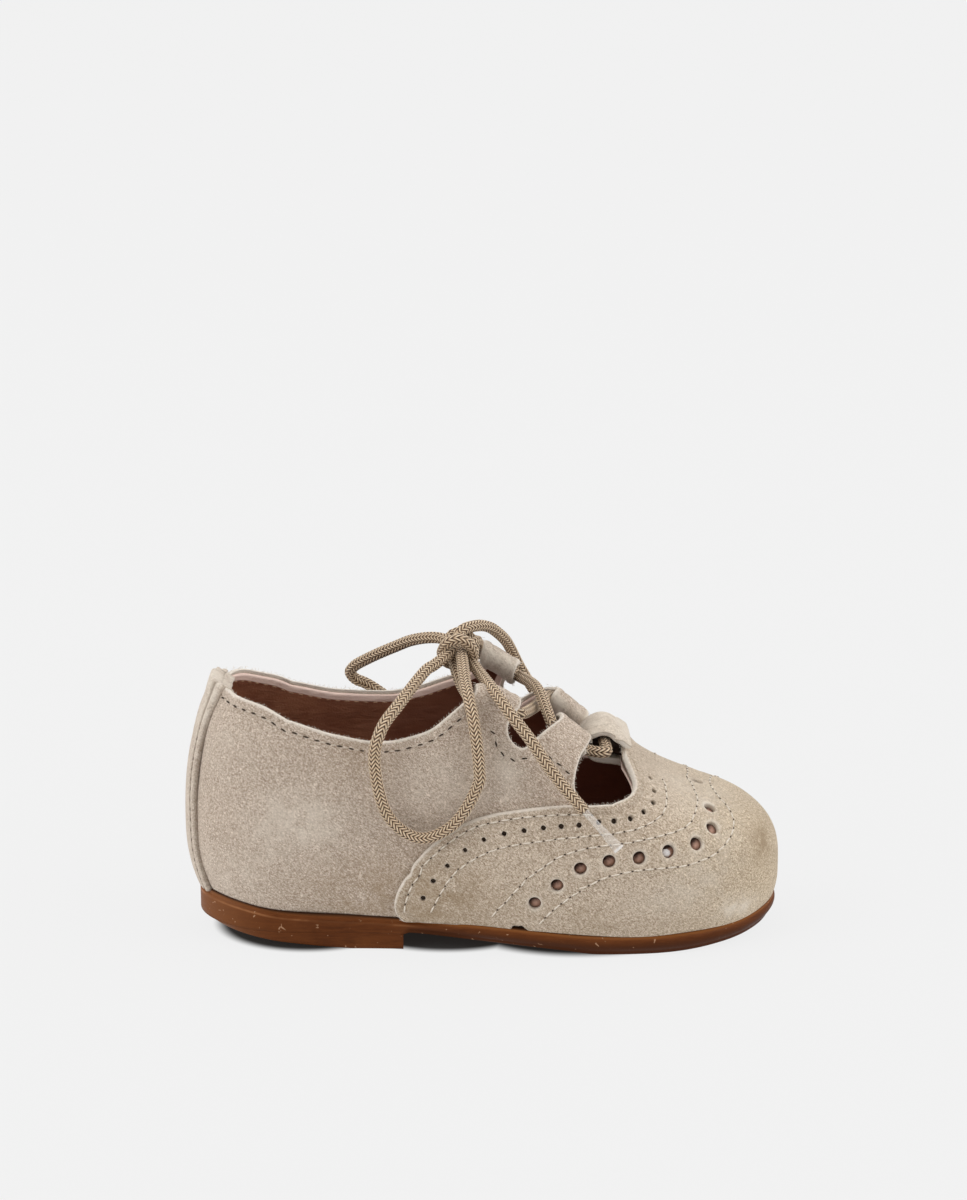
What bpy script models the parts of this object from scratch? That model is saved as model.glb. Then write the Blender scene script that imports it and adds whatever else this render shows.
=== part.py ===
"""Child's open brogue shoe, right foot: hollow upper on a sole with a low heel, laced through loops."""
import math

import bmesh
import bpy
import numpy as np

for old in list(bpy.data.objects):
    bpy.data.objects.remove(old, do_unlink=True)

# All named sizes are millimetres; MM turns them into the model's metres.
MM = 0.001
LATERAL = -1
MEDIAL = 1

# Last: +X to the toe, +Y to the inner side of the foot, +Z up, floor at 0.
HEEL_PIVOT_X = -44.0
TOE_PIVOT_X = 28.0
BACK_X = -67.3
TIP_X = 67.2
BACK_CROWN = 64.5
FULL_SIDE = 2.5
FULL_BACK = 2.4
FULL_TIP = 4.2
TOE_ROUND = 2.3
TUCK_SIDE = 1.6
TUCK_BACK = 2.6
TUCK_TIP = 1.0
TUCK_CURVE = 2.2

# Half widths at the bulge: x, outer side, inner side
SIDE_WIDTHS = (
    (-44.0, 20.6, 20.6),
    (-22.0, 21.4, 20.4),
    (-4.0, 23.0, 21.7),
    (10.0, 25.0, 24.2),
    (20.0, 26.5, 26.2),
    (28.0, 27.0, 26.6),
)
# Height the section would close at: x, z
CROWN_LINE = (
    (-44.0, 78.0),
    (-22.0, 80.0),
    (-4.0, 74.0),
    (10.0, 62.0),
    (20.0, 53.2),
    (28.0, 45.6),
    (36.0, 38.3),
    (43.0, 34.3),
    (50.0, 32.0),
    (59.5, 30.3),
    (68.0, 27.5),
)
# Along the foot: x, bulge height, sole top, sole bottom, swing of the middle
LENGTH_LINE = (
    (-69.0, 25.2, 8.6, 4.6, 0.0),
    (-56.0, 22.4, 8.2, 4.2, 0.0),
    (-44.0, 20.0, 8.0, 4.0, 0.0),
    (-30.0, 19.3, 7.8, 4.0, 0.0),
    (-18.0, 18.8, 7.3, 3.6, 0.0),
    (0.0, 17.6, 6.0, 2.3, 0.0),
    (14.0, 16.2, 4.9, 1.1, 0.1),
    (25.0, 15.2, 4.3, 0.4, 0.2),
    (35.0, 14.6, 4.1, 0.2, 0.3),
    (45.0, 14.0, 4.4, 0.6, 0.5),
    (56.0, 13.3, 5.4, 1.9, 0.7),
    (69.0, 12.5, 8.1, 4.7, 1.0),
)
COL_BULGE = 1
COL_SEAT = 2
COL_FLOOR = 3
COL_SWING = 4

# Walls and gaps
GAP = 0.3
WALL = 1.6
VAMP_WALL = 1.2
STRIP_WALL = 1.0

# Sole and heel
WELT_HEEL = 0.8
WELT_FORE = 1.9
WELT_FROM_X = -22.0
WELT_TO_X = 2.0
LIP_DEPTH = 1.1
LIP_STEP = 0.3
EDGE_BEVEL = 0.6
FLAT_FROM_X = 26.0
FLAT_TO_X = 44.0
HEEL_BREAST_X = -18.5
HEEL_BACK_TAPER = 1.3
HEEL_FLAT_X = -50.0
HEEL_RISE = 0.9
INSOLE_THICK = 1.2
INSOLE_INSET = WALL + 0.5

# Places on the last are given as along, up:
# along is x on the sides, then degrees of turn round the toe (to 118) or the heel (to -134);
# up is -1 at the sole, 0 at the bulge, 1 at the closing ridge.
TOE_MID = TOE_PIVOT_X + 90.0
BACK_MID = HEEL_PIVOT_X - 90.0

# Top edge of the upper: along, up
COLLAR_EDGE = (
    (-134.0, 0.590),
    (-105.0, 0.535),
    (-85.0, 0.470),
    (-64.0, 0.410),
    (-42.5, 0.370),
    (-34.5, 0.330),
    (-28.0, 0.312),
    (-20.0, 0.312),
    (-13.0, 0.345),
    (-9.5, 0.380),
    (-6.0, 0.430),
    (-3.5, 0.470),
)
# Where each side tab ends and its folded loop begins: along, up
TOP_TAB = ((-1.5, 0.485), (8.5, 0.565))
MID_TAB = ((18.0, 0.690), (24.5, 0.717))
RIDGE_FROM = 26.3
# Notch between the tabs and the triangular cut-out: along, up
NOTCH = (
    (9.2, 0.74),
    (8.7, 0.62),
    (7.5, 0.56),
    (5.6, 0.49),
    (5.1, 0.45),
    (6.3, 0.424),
    (8.6, 0.42),
    (11.5, 0.49),
    (15.0, 0.59),
    (17.6, 0.69),
    (18.0, 0.86),
)
CUT_OUT = (
    (24.5, 0.73),
    (23.0, 0.62),
    (21.5, 0.54),
    (20.3, 0.45),
    (20.0, 0.40),
    (20.8, 0.37),
    (22.8, 0.355),
    (26.0, 0.39),
    (31.5, 0.44),
    (39.5, 0.50),
    (44.0, 0.56),
    (46.5, 0.62),
    (46.0, 0.69),
    (44.5, 0.76),
    (41.0, 0.82),
    (32.0, 0.845),
    (27.2, 0.86),
    (25.8, 0.89),
    (24.7, 0.88),
)
# Back edge of the vamp: along, up
VAMP_EDGE = (
    (-20.0, -0.86),
    (-19.5, -0.50),
    (-18.0, -0.12),
    (-15.5, 0.03),
    (-12.5, 0.07),
    (-8.0, 0.11),
    (-4.0, 0.14),
    (0.5, 0.18),
    (5.5, 0.21),
    (11.0, 0.25),
    (17.5, 0.30),
    (23.5, 0.35),
)
VAMP_FOOT = -1.0
# Punched wing row: along, up
WING_HOLES = (
    (11.5, -0.33),
    (16.0, 0.02),
    (21.5, 0.10),
    (27.5, 0.16),
    (41.5, 0.22),
    (55.5, 0.30),
    (68.5, 0.37),
    (79.0, 0.46),
    (88.0, 0.57),
)
WING_PEAK = (118.0, 0.68)
HOLE_DIA = 2.7
HOLE_SIDES = 8
# Edge of the heel strip: up, along
STRIP_EDGE = (
    (-1.00, -107.5),
    (-0.42, -109.5),
    (0.12, -112.0),
    (0.29, -111.5),
    (0.43, -109.0),
    (0.60, -104.0),
)

# Folded loops
LOOP_THICK = 2.9
LOOP_TALL = 3.6
LOOP_WALL = 1.0
LOOP_SINK = 0.2
LOOP_SIDES = 12
ROLL_X = 27.4
ROLL_Z = 44.9
ROLL_HALF = 7.6
ROLL_R = 3.1
ROLL_BORE = 2.05
ROLL_CLEAR_R = 4.2
ROLL_CLEAR_SHIFT = (-0.8, 0.0, 0.7)
BORE_OVER = 0.6

# Lace
LACE_DIA = 2.6
LACE_SIDES = 2
KNOT_SIZE = (9.0, 8.0, 7.0)
KNOT_AT = (-4.6, 1.0, 65.0)
AGLET_DIA = 3.2
AGLET_LEN = 12.5
CROSS_STEP = 4.0
BOW_STEP = 7.5
END_STEP = 8.0
# Ways the lace leaves the knot: x, y, z
KNOT_TO_NEAR_LOOP = (-0.10, -0.78, -0.62)
KNOT_TO_FAR_LOOP = (-0.10, 0.78, -0.62)
KNOT_TO_NEAR_BOW = (-0.78, -0.50, 0.38)
NEAR_BOW_TO_KNOT = (-0.05, -0.96, 0.28)
KNOT_TO_FAR_BOW = (-0.78, 0.50, 0.38)
FAR_BOW_TO_KNOT = (-0.05, 0.96, 0.28)
KNOT_TO_NEAR_END = (0.78, -0.62, -0.10)
KNOT_TO_FAR_END = (-0.20, 0.10, 0.97)
KNOT_LEAD = 2.5
# Places between the knot and the loops, and the two crossings: x, y, z
NEAR_LEAD = (-5.2, -11.6, 59.6)
FAR_LEAD = (-5.2, 12.2, 59.6)
UNDER_CROSS = (12.2, 0.0, 51.4)
OVER_CROSS = (12.6, 0.0, 55.4)
NEAR_TURN = (26.0, -10.9, 43.7)
FAR_TURN = (26.0, 10.9, 43.7)
# Bow loops and ends: x, y, z
BOW_NEAR = (
    (-13.4, -10.0, 63.6),
    (-19.0, -19.0, 57.9),
    (-23.0, -23.5, 53.2),
    (-24.6, -24.4, 45.4),
    (-21.9, -24.8, 33.6),
    (-14.8, -25.4, 28.2),
    (-7.0, -25.4, 31.4),
    (-1.9, -25.2, 39.7),
    (-1.4, -24.8, 44.5),
    (-2.4, -22.8, 54.0),
    (-3.9, -18.8, 61.0),
    (-4.8, -12.0, 65.0),
)
BOW_FAR = (
    (-12.8, 9.6, 66.0),
    (-17.1, 14.0, 63.6),
    (-23.2, 18.0, 60.4),
    (-27.7, 21.0, 57.3),
    (-30.1, 22.8, 54.0),
    (-26.7, 24.4, 49.6),
    (-16.0, 25.0, 43.0),
    (-8.0, 25.4, 40.5),
    (-2.0, 25.4, 44.5),
    (-1.0, 24.6, 51.5),
    (-3.8, 20.2, 60.5),
    (-4.8, 13.0, 64.8),
)
END_NEAR = (
    (1.2, -13.0, 62.6),
    (2.4, -18.0, 60.0),
    (4.4, -21.3, 56.5),
    (7.9, -23.4, 51.4),
    (16.5, -27.0, 41.0),
    (21.4, -28.5, 35.3),
)
AGLET_NEAR_TO = (31.1, -31.0, 25.0)
END_FAR = (
    (-1.2, 8.6, 70.2),
    (5.5, 17.4, 63.4),
    (8.6, 22.0, 56.0),
    (16.5, 26.8, 41.5),
    (21.0, 28.4, 35.6),
)
AGLET_FAR_TO = (30.4, 31.0, 25.4)

SUEDE = (0.56, 0.46, 0.34, 1.0)
SOLE_BROWN = (0.25, 0.08, 0.03, 1.0)
LINING_BROWN = (0.15, 0.05, 0.03, 1.0)
LACE_TAN = (0.43, 0.30, 0.16, 1.0)
CLEAR_GREY = (0.8, 0.8, 0.8, 1.0)


def smooth(rows, x, column=1):
    """Smooth curve through one column of a table, read at x."""
    xs = np.array([row[0] for row in rows])
    ys = np.array([row[column] for row in rows])
    slopes = np.gradient(ys, xs)
    x = np.clip(np.asarray(x, float), xs[0], xs[-1])
    low = np.clip(np.searchsorted(xs, x) - 1, 0, len(xs) - 2)
    span = xs[low + 1] - xs[low]
    s = (x - xs[low]) / span
    start = (1 + 2 * s) * (1 - s) ** 2 * ys[low] + s * (1 - s) ** 2 * span * slopes[low]
    end = s * s * (3 - 2 * s) * ys[low + 1] + s * s * (s - 1) * span * slopes[low + 1]
    return start + end


def ease(x, low, high):
    """0 before low, 1 after high, smooth between."""
    s = np.clip((np.asarray(x, float) - low) / (high - low), 0, 1)
    return s * s * (3 - 2 * s)


def station(along, side):
    """Pivot x, direction, bulge radius and turn weight of a section plane."""
    along = np.asarray(along, float)
    pivot = np.clip(along, HEEL_PIVOT_X, TOE_PIVOT_X)
    heel = along < HEEL_PIVOT_X
    toe = along > TOE_PIVOT_X
    turn = np.where(heel, 90 - (HEEL_PIVOT_X - along), np.where(toe, 90 - (along - TOE_PIVOT_X), 90.0))
    c = np.cos(np.radians(turn))
    s = np.sin(np.radians(turn))
    dir_x = np.where(heel, -c, np.where(toe, c, 0.0))
    dir_y = side * s
    half = smooth(SIDE_WIDTHS, pivot, 1 if side == LATERAL else 2)
    reach = np.where(heel, HEEL_PIVOT_X - BACK_X, TIP_X - TOE_PIVOT_X)
    power = np.where(heel, 2.0, TOE_ROUND)
    oval = ((np.abs(c) / reach) ** power + (np.abs(s) / half) ** power) ** (-1 / power)
    radius = np.where(heel | toe, oval, half)
    return pivot, dir_x, dir_y, radius, s * s, heel


def last(along, up, side):
    """Point on the outer face of the upper, millimetres."""
    along, up = np.broadcast_arrays(np.asarray(along, float), np.asarray(up, float))
    pivot, dir_x, dir_y, radius, w, heel = station(along, side)
    full = np.where(heel, FULL_BACK, FULL_TIP) * (1 - w) + FULL_SIDE * w
    tuck = np.where(heel, TUCK_BACK, TUCK_TIP) * (1 - w) + TUCK_SIDE * w
    bulge = smooth(LENGTH_LINE, pivot + radius * dir_x, COL_BULGE)
    angle = np.clip(up, 0, 1) * math.pi / 2
    c = np.abs(np.cos(angle))
    s = np.sin(angle)
    r = (c ** full + s ** full) ** (-1 / full)
    down = np.clip(-up, 0, 1)
    out = np.where(up >= 0, r * c, 1 - tuck / radius * down ** TUCK_CURVE)
    x = pivot + radius * out * dir_x
    y = radius * out * dir_y
    side_crown = smooth(CROWN_LINE, HEEL_PIVOT_X)
    crown = np.where(heel, BACK_CROWN * (1 - w) + side_crown * w, smooth(CROWN_LINE, x))
    seat = smooth(LENGTH_LINE, x, COL_SEAT) + GAP
    z = np.where(up >= 0, bulge + (crown - bulge) * r * s, bulge + (seat - bulge) * down)
    return np.stack([x, y + smooth(LENGTH_LINE, x, COL_SWING), z], -1)


def outward(along, up, side):
    """Outward unit normal of the last's surface."""
    along, up = np.broadcast_arrays(np.asarray(along, float), np.asarray(up, float))
    top = np.minimum(up, 0.985)
    across = last(along + 0.3, top, side) - last(along - 0.3, top, side)
    rise = last(along, np.minimum(top + 0.012, 0.998), side) - last(along, np.maximum(top - 0.012, -1), side)
    n = np.cross(across, rise) * -side
    return n / np.maximum(np.linalg.norm(n, axis=-1, keepdims=True), 1e-9)


def material(name, colour, rough):
    mat = bpy.data.materials.new(name)
    mat.use_nodes = True
    node = mat.node_tree.nodes["Principled BSDF"]
    node.inputs["Base Color"].default_value = colour
    node.inputs["Roughness"].default_value = rough
    return mat


def make(name, points, faces, mat):
    """Object from millimetre points; doubles welded, faces turned outward."""
    mesh = bpy.data.meshes.new(name)
    mesh.from_pydata([tuple(p) for p in np.asarray(points) * MM], [], faces)
    bm = bmesh.new()
    bm.from_mesh(mesh)
    bmesh.ops.remove_doubles(bm, verts=bm.verts, dist=0.00002)
    bmesh.ops.dissolve_degenerate(bm, edges=bm.edges, dist=0.00001)
    bmesh.ops.triangulate(bm, faces=bm.faces)
    bmesh.ops.recalc_face_normals(bm, faces=bm.faces)
    for face in bm.faces:
        face.smooth = True
    bm.to_mesh(mesh)
    bm.free()
    obj = bpy.data.objects.new(name, mesh)
    bpy.context.scene.collection.objects.link(obj)
    if mat is not None:
        mesh.materials.append(mat)
    return obj


def group(tools):
    """One cutter from several that stand apart."""
    bm = bmesh.new()
    for tool in tools:
        bm.from_mesh(tool.data)
        bpy.data.objects.remove(tool, do_unlink=True)
    mesh = bpy.data.meshes.new("cutter")
    bm.to_mesh(mesh)
    bm.free()
    obj = bpy.data.objects.new("cutter", mesh)
    bpy.context.scene.collection.objects.link(obj)
    return obj


def boolean(obj, tools, operation):
    cutter = group(tools)
    mod = obj.modifiers.new("cut", "BOOLEAN")
    mod.operation = operation
    mod.solver = "EXACT"
    mod.object = cutter
    bpy.context.view_layer.update()
    depsgraph = bpy.context.evaluated_depsgraph_get()
    result = bpy.data.meshes.new_from_object(obj.evaluated_get(depsgraph))
    obj.modifiers.clear()
    obj.data = result
    bpy.data.objects.remove(cutter, do_unlink=True)
    tidy(obj)


def tidy(obj):
    """Weld slivers left by cutting and face everything outward."""
    bm = bmesh.new()
    bm.from_mesh(obj.data)
    bmesh.ops.triangulate(bm, faces=bm.faces)
    bmesh.ops.remove_doubles(bm, verts=bm.verts, dist=0.00002)
    bmesh.ops.dissolve_degenerate(bm, edges=bm.edges, dist=0.00001)
    bmesh.ops.triangulate(bm, faces=bm.faces)
    bmesh.ops.recalc_face_normals(bm, faces=bm.faces)
    for face in bm.faces:
        face.smooth = True
    bm.to_mesh(obj.data)
    bm.free()


def shell(name, patches, out, inn, mat):
    """Closed wall between two offsets of the last over grids of along and up."""
    points = []
    normals = []
    faces = []
    for along, up, side in patches:
        base = len(points)
        rows, cols = along.shape
        points.extend(last(along, up, side).reshape(-1, 3))
        normals.extend(outward(along, up, side).reshape(-1, 3))
        for i in range(rows - 1):
            for j in range(cols - 1):
                a = base + i * cols + j
                faces.append((a, a + 1, a + cols + 1, a + cols))
    keys = {}
    index = []
    for p in points:
        index.append(keys.setdefault(tuple(np.round(p, 3)), len(keys)))
    place = np.zeros((len(keys), 3))
    lean = np.zeros((len(keys), 3))
    for k, p, n in zip(index, points, normals):
        place[k] = p
        lean[k] += n
    lean /= np.linalg.norm(lean, axis=1, keepdims=True)
    joined = []
    for face in faces:
        loop = []
        for v in face:
            if index[v] not in loop:
                loop.append(index[v])
        if len(loop) > 2:
            joined.append(tuple(loop))
    edges = {}
    for face in joined:
        for a, b in zip(face, face[1:] + face[:1]):
            edges[frozenset((a, b))] = edges.get(frozenset((a, b)), 0) + 1
    outer = place + lean * out
    inner = place + lean * inn
    foot = place[:, 2] - smooth(LENGTH_LINE, place[:, 0], COL_SEAT) < GAP + 0.01
    for ring in (outer, inner):
        ring[foot, 2] = smooth(LENGTH_LINE, ring[foot, 0], COL_SEAT) + GAP
    count = len(place)
    solid = list(joined)
    solid += [tuple(v + count for v in reversed(face)) for face in joined]
    for face in joined:
        for a, b in zip(face, face[1:] + face[:1]):
            if edges[frozenset((a, b))] == 1:
                solid.append((b, a, a + count, b + count))
    return make(name, np.vstack([outer, inner]), solid, mat)


def closed_curve(rows, steps):
    """Smooth closed loop through rows, each gap split into steps."""
    p = np.array(rows, float)
    loop = []
    for i in range(len(p)):
        a, b, c, d = p[i - 1], p[i], p[(i + 1) % len(p)], p[(i + 2) % len(p)]
        for k in range(steps):
            t = k / steps
            loop.append(0.5 * (2 * b + (c - a) * t + (2 * a - 5 * b + 4 * c - d) * t * t
                               + (3 * b - a - 3 * c + d) * t ** 3))
    return np.array(loop)


def open_curve(rows, spacing):
    """Points about spacing apart on a smooth open curve through rows."""
    p = np.array(rows, float)
    p = np.vstack([2 * p[0] - p[1], p, 2 * p[-1] - p[-2]])
    fine = []
    for i in range(1, len(p) - 2):
        a, b, c, d = p[i - 1], p[i], p[i + 1], p[i + 2]
        for t in np.linspace(0, 1, 40, endpoint=False):
            fine.append(0.5 * (2 * b + (c - a) * t + (2 * a - 5 * b + 4 * c - d) * t * t
                               + (3 * b - a - 3 * c + d) * t ** 3))
    fine.append(p[-2])
    fine = np.array(fine)
    run = np.concatenate([[0], np.cumsum(np.linalg.norm(np.diff(fine, axis=0), axis=1))])
    count = max(3, int(round(run[-1] / spacing)) + 1)
    return np.stack([np.interp(np.linspace(0, run[-1], count), run, fine[:, k]) for k in range(3)], 1)


def window(outline, side, out, inn):
    """Plug through the wall whose rim is an outline on the last."""
    along = outline[:, 0]
    up = outline[:, 1]
    base = last(along, up, side)
    lean = outward(along, up, side)
    count = len(outline)
    faces = [tuple(range(count)), tuple(range(2 * count - 1, count - 1, -1))]
    for i in range(count):
        j = (i + 1) % count
        faces.append((i, j, j + count, i + count))
    return make("window", np.vstack([base + lean * out, base - lean * inn]), faces, None)


def tube(name, start, end, tall_dir, tall, thick, sides=LOOP_SIDES):
    """Oval bar from start to end, its long way along tall_dir."""
    start = np.array(start, float)
    end = np.array(end, float)
    axis = (end - start) / np.linalg.norm(end - start)
    t = tall_dir - axis * np.dot(tall_dir, axis)
    t /= np.linalg.norm(t)
    n = np.cross(axis, t)
    rings = []
    for centre in (start, end):
        for k in range(sides):
            a = 2 * math.pi * (k + 0.5) / sides
            rings.append(centre + t * tall * math.cos(a) + n * thick * math.sin(a))
    faces = [tuple(range(sides)), tuple(range(2 * sides - 1, sides - 1, -1))]
    for i in range(sides):
        j = (i + 1) % sides
        faces.append((i, j, j + sides, i + sides))
    return make(name, rings, faces, None)


def stretch(start, end, over):
    start = np.array(start)
    end = np.array(end)
    axis = (end - start) / np.linalg.norm(end - start)
    return start - axis * over, end + axis * over


def spans(*marks):
    """Joined runs of evenly spaced values: start, (end, steps), ..."""
    values = [marks[0]]
    for end, steps in marks[1:]:
        values.extend(np.linspace(values[-1], end, steps + 1)[1:])
    return np.array(values)


def grid(alongs, foot, tops, low_rows, high_rows):
    """Grid from the foot up to a top edge, with a row kept on the bulge."""
    down = np.linspace(0, 1, low_rows + 1)[:-1]
    high = np.linspace(0, 1, high_rows + 1)
    rows = []
    for a, top in zip(alongs, tops):
        knee = min(0.0, foot + (top - foot) * 0.5)
        rows.append(np.concatenate([foot + (knee - foot) * down, knee + (top - knee) * high]))
    up = np.array(rows)
    return np.repeat(alongs[:, None], up.shape[1], axis=1), up


def upper_top(along):
    """Up value of the upper's top edge."""
    marks = list(COLLAR_EDGE) + list(TOP_TAB) + list(MID_TAB) + [(RIDGE_FROM, 1.0), (TOE_MID, 1.0)]
    xs = [m[0] for m in marks]
    ys = [m[1] for m in marks]
    collar = smooth(COLLAR_EDGE, along)
    return np.where(along < COLLAR_EDGE[-1][0], collar, np.interp(along, xs, ys))


def vamp_top(along):
    """Up value of the vamp's back edge, then the ridge."""
    edge = smooth(VAMP_EDGE, along)
    jump = np.interp(along, (VAMP_EDGE[-1][0], 25.9), (VAMP_EDGE[-1][1], 1.0))
    return np.where(along < VAMP_EDGE[-1][0], edge, jump)


def feather(along, side, inset, part):
    """Plan point at a share of the way from the middle to the sole's edge."""
    pivot, dir_x, dir_y, radius, w, heel = station(along, side)
    tuck = np.where(heel, TUCK_BACK, TUCK_TIP) * (1 - w) + TUCK_SIDE * w
    reach = (radius - tuck - inset) * part
    x = pivot + reach * dir_x
    return x, reach * dir_y + smooth(LENGTH_LINE, x, COL_SWING)


def sole_floor(x):
    """Sole's underside: flat under the ball, lifted at waist and toe."""
    curve = smooth(LENGTH_LINE, x, COL_FLOOR)
    flat = ease(x, FLAT_FROM_X - 8, FLAT_FROM_X) * (1 - ease(x, FLAT_TO_X, FLAT_TO_X + 8))
    return np.maximum(curve * (1 - flat), 0.0)


def layer(name, rows, alongs, mat, end_face=False):
    """Closed slab from rows of (inset, share, height function) run round the outline."""
    points = []
    faces = []
    count = len(rows)
    for side in (LATERAL, MEDIAL):
        base = len(points)
        for a in alongs:
            for inset, part, height in rows:
                x, y = feather(a, side, inset(a), part)
                points.append((float(x), float(y), float(height(x))))
        for i in range(len(alongs) - 1):
            for j in range(count - 1):
                k = base + i * count + j
                faces.append((k, k + 1, k + count + 1, k + count))
    if end_face:
        last_col = (len(alongs) - 1) * count
        half = len(alongs) * count
        ring = [last_col + j for j in range(count)]
        ring += [half + last_col + j for j in range(count - 2, 0, -1)]
        faces.append(tuple(ring))
    return make(name, points, faces, mat)


def welt(along):
    """How far the sole stands out past the upper's foot."""
    return WELT_HEEL + (WELT_FORE - WELT_HEEL) * ease(along, WELT_FROM_X, WELT_TO_X)


suede = material("suede", SUEDE, 0.95)
vamp_suede = material("vamp_suede", SUEDE, 0.95)
strip_suede = material("strip_suede", SUEDE, 0.95)
sole_leather = material("sole_leather", SOLE_BROWN, 0.5)
heel_leather = material("heel_leather", SOLE_BROWN, 0.5)
insole_leather = material("insole_leather", LINING_BROWN, 0.6)
aglet_clear = material("aglet_clear", CLEAR_GREY, 0.3)

ROUND = spans(BACK_MID, (HEEL_PIVOT_X, 7), (TOE_PIVOT_X, 14), (TOE_MID, 9))

# Outsole
outsole = layer("outsole", (
    (lambda a: -welt(a), 0.0, sole_floor),
    (lambda a: EDGE_BEVEL - welt(a), 0.55, sole_floor),
    (lambda a: EDGE_BEVEL - welt(a), 1.0, sole_floor),
    (lambda a: -welt(a), 1.0, lambda x: sole_floor(x) + EDGE_BEVEL),
    (lambda a: -welt(a), 1.0, lambda x: smooth(LENGTH_LINE, x, COL_SEAT) - LIP_DEPTH),
    (lambda a: LIP_STEP - welt(a), 1.0, lambda x: smooth(LENGTH_LINE, x, COL_SEAT) - LIP_DEPTH + LIP_STEP),
    (lambda a: LIP_STEP - welt(a), 1.0, lambda x: smooth(LENGTH_LINE, x, COL_SEAT)),
    (lambda a: LIP_STEP - welt(a), 0.55, lambda x: smooth(LENGTH_LINE, x, COL_SEAT)),
    (lambda a: -welt(a), 0.0, lambda x: smooth(LENGTH_LINE, x, COL_SEAT)),
), ROUND, sole_leather)


def heel_top(x):
    return sole_floor(x) - GAP


def heel_floor(x):
    back = np.clip((HEEL_FLAT_X - x) / (HEEL_FLAT_X - BACK_X), 0, 1)
    return HEEL_RISE * back ** 2


def heel_back(along):
    """Extra inset of the heel's lower edge toward the back."""
    return HEEL_BACK_TAPER * (1 - ease(along, BACK_MID, HEEL_PIVOT_X + 10)) + 0.2


# Heel
HEEL_ROUND = spans(BACK_MID, (HEEL_PIVOT_X, 8), (HEEL_BREAST_X, 5))
heel_block = layer("heel", (
    (lambda a: -welt(a), 0.0, heel_floor),
    (lambda a: heel_back(a) + EDGE_BEVEL - welt(a), 0.6, heel_floor),
    (lambda a: heel_back(a) + EDGE_BEVEL * 0.6 - welt(a), 1.0, heel_floor),
    (lambda a: heel_back(a) * 0.6 - welt(a), 1.0, lambda x: heel_floor(x) + EDGE_BEVEL),
    (lambda a: -welt(a), 1.0, heel_top),
    (lambda a: -welt(a), 0.6, heel_top),
    (lambda a: -welt(a), 0.0, heel_top),
), HEEL_ROUND, heel_leather, end_face=True)

# Insole
insole = layer("insole", (
    (lambda a: INSOLE_INSET, 0.0, lambda x: smooth(LENGTH_LINE, x, COL_SEAT) + GAP),
    (lambda a: INSOLE_INSET, 0.5, lambda x: smooth(LENGTH_LINE, x, COL_SEAT) + GAP),
    (lambda a: INSOLE_INSET, 1.0, lambda x: smooth(LENGTH_LINE, x, COL_SEAT) + GAP),
    (lambda a: INSOLE_INSET, 1.0, lambda x: smooth(LENGTH_LINE, x, COL_SEAT) + GAP + INSOLE_THICK),
    (lambda a: INSOLE_INSET, 0.5, lambda x: smooth(LENGTH_LINE, x, COL_SEAT) + GAP + INSOLE_THICK),
    (lambda a: INSOLE_INSET, 0.0, lambda x: smooth(LENGTH_LINE, x, COL_SEAT) + GAP + INSOLE_THICK),
), ROUND, insole_leather)

# Upper: wall, then notches and cut-outs, then folded loops and their bores
UPPER_ALONG = spans(BACK_MID, (HEEL_PIVOT_X, 7), (-6.0, 9), (-3.5, 1), (-1.5, 1), (8.5, 3), (18.0, 3),
                    (24.5, 2), (RIDGE_FROM, 1), (TOE_PIVOT_X, 1), (TOE_MID, 10))
upper_grids = []
for side in (LATERAL, MEDIAL):
    along, up = grid(UPPER_ALONG, -1.0, upper_top(UPPER_ALONG), 3, 6)
    upper_grids.append((along, up, side))
upper = shell("upper", upper_grids, 0.0, -WALL, suede)
cut_loop = closed_curve(CUT_OUT, 2)
notch_loop = closed_curve(NOTCH, 1)
for side in (LATERAL, MEDIAL):
    boolean(upper, [window(cut_loop, side, 3.0, 3.0)], "DIFFERENCE")
    boolean(upper, [window(notch_loop, side, 3.0, 4.0)], "DIFFERENCE")


def loop_axis(tab, side):
    """Ends of a folded loop's middle line and the way it stands."""
    ends = []
    rise = np.zeros(3)
    for along, up in tab:
        lean = outward(along, up, side)
        ends.append(last(along, up, side) - lean * (LOOP_THICK + LOOP_SINK))
        rise += last(along, up + 0.02, side) - last(along, up - 0.02, side)
    return ends[0], ends[1], rise / np.linalg.norm(rise)


tab_loops = {}
for side in (LATERAL, MEDIAL):
    for label, tab in (("top", TOP_TAB), ("mid", MID_TAB)):
        tab_loops[label, side] = loop_axis(tab, side)
roll_start = np.array((ROLL_X, -ROLL_HALF, ROLL_Z))
roll_end = np.array((ROLL_X, ROLL_HALF, ROLL_Z))
UP = np.array((0.0, 0.0, 1.0))
folds = [tube("fold", roll_start, roll_end, UP, ROLL_R, ROLL_R)]
bores = [tube("bore", *stretch(roll_start, roll_end, BORE_OVER), UP, ROLL_BORE, ROLL_BORE)]
for start, end, rise in tab_loops.values():
    folds.append(tube("fold", start, end, rise, LOOP_TALL, LOOP_THICK))
    start, end = stretch(start, end, BORE_OVER)
    bores.append(tube("bore", start, end, rise, LOOP_TALL - LOOP_WALL, LOOP_THICK - LOOP_WALL))
boolean(upper, folds, "UNION")
boolean(upper, bores, "DIFFERENCE")

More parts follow.
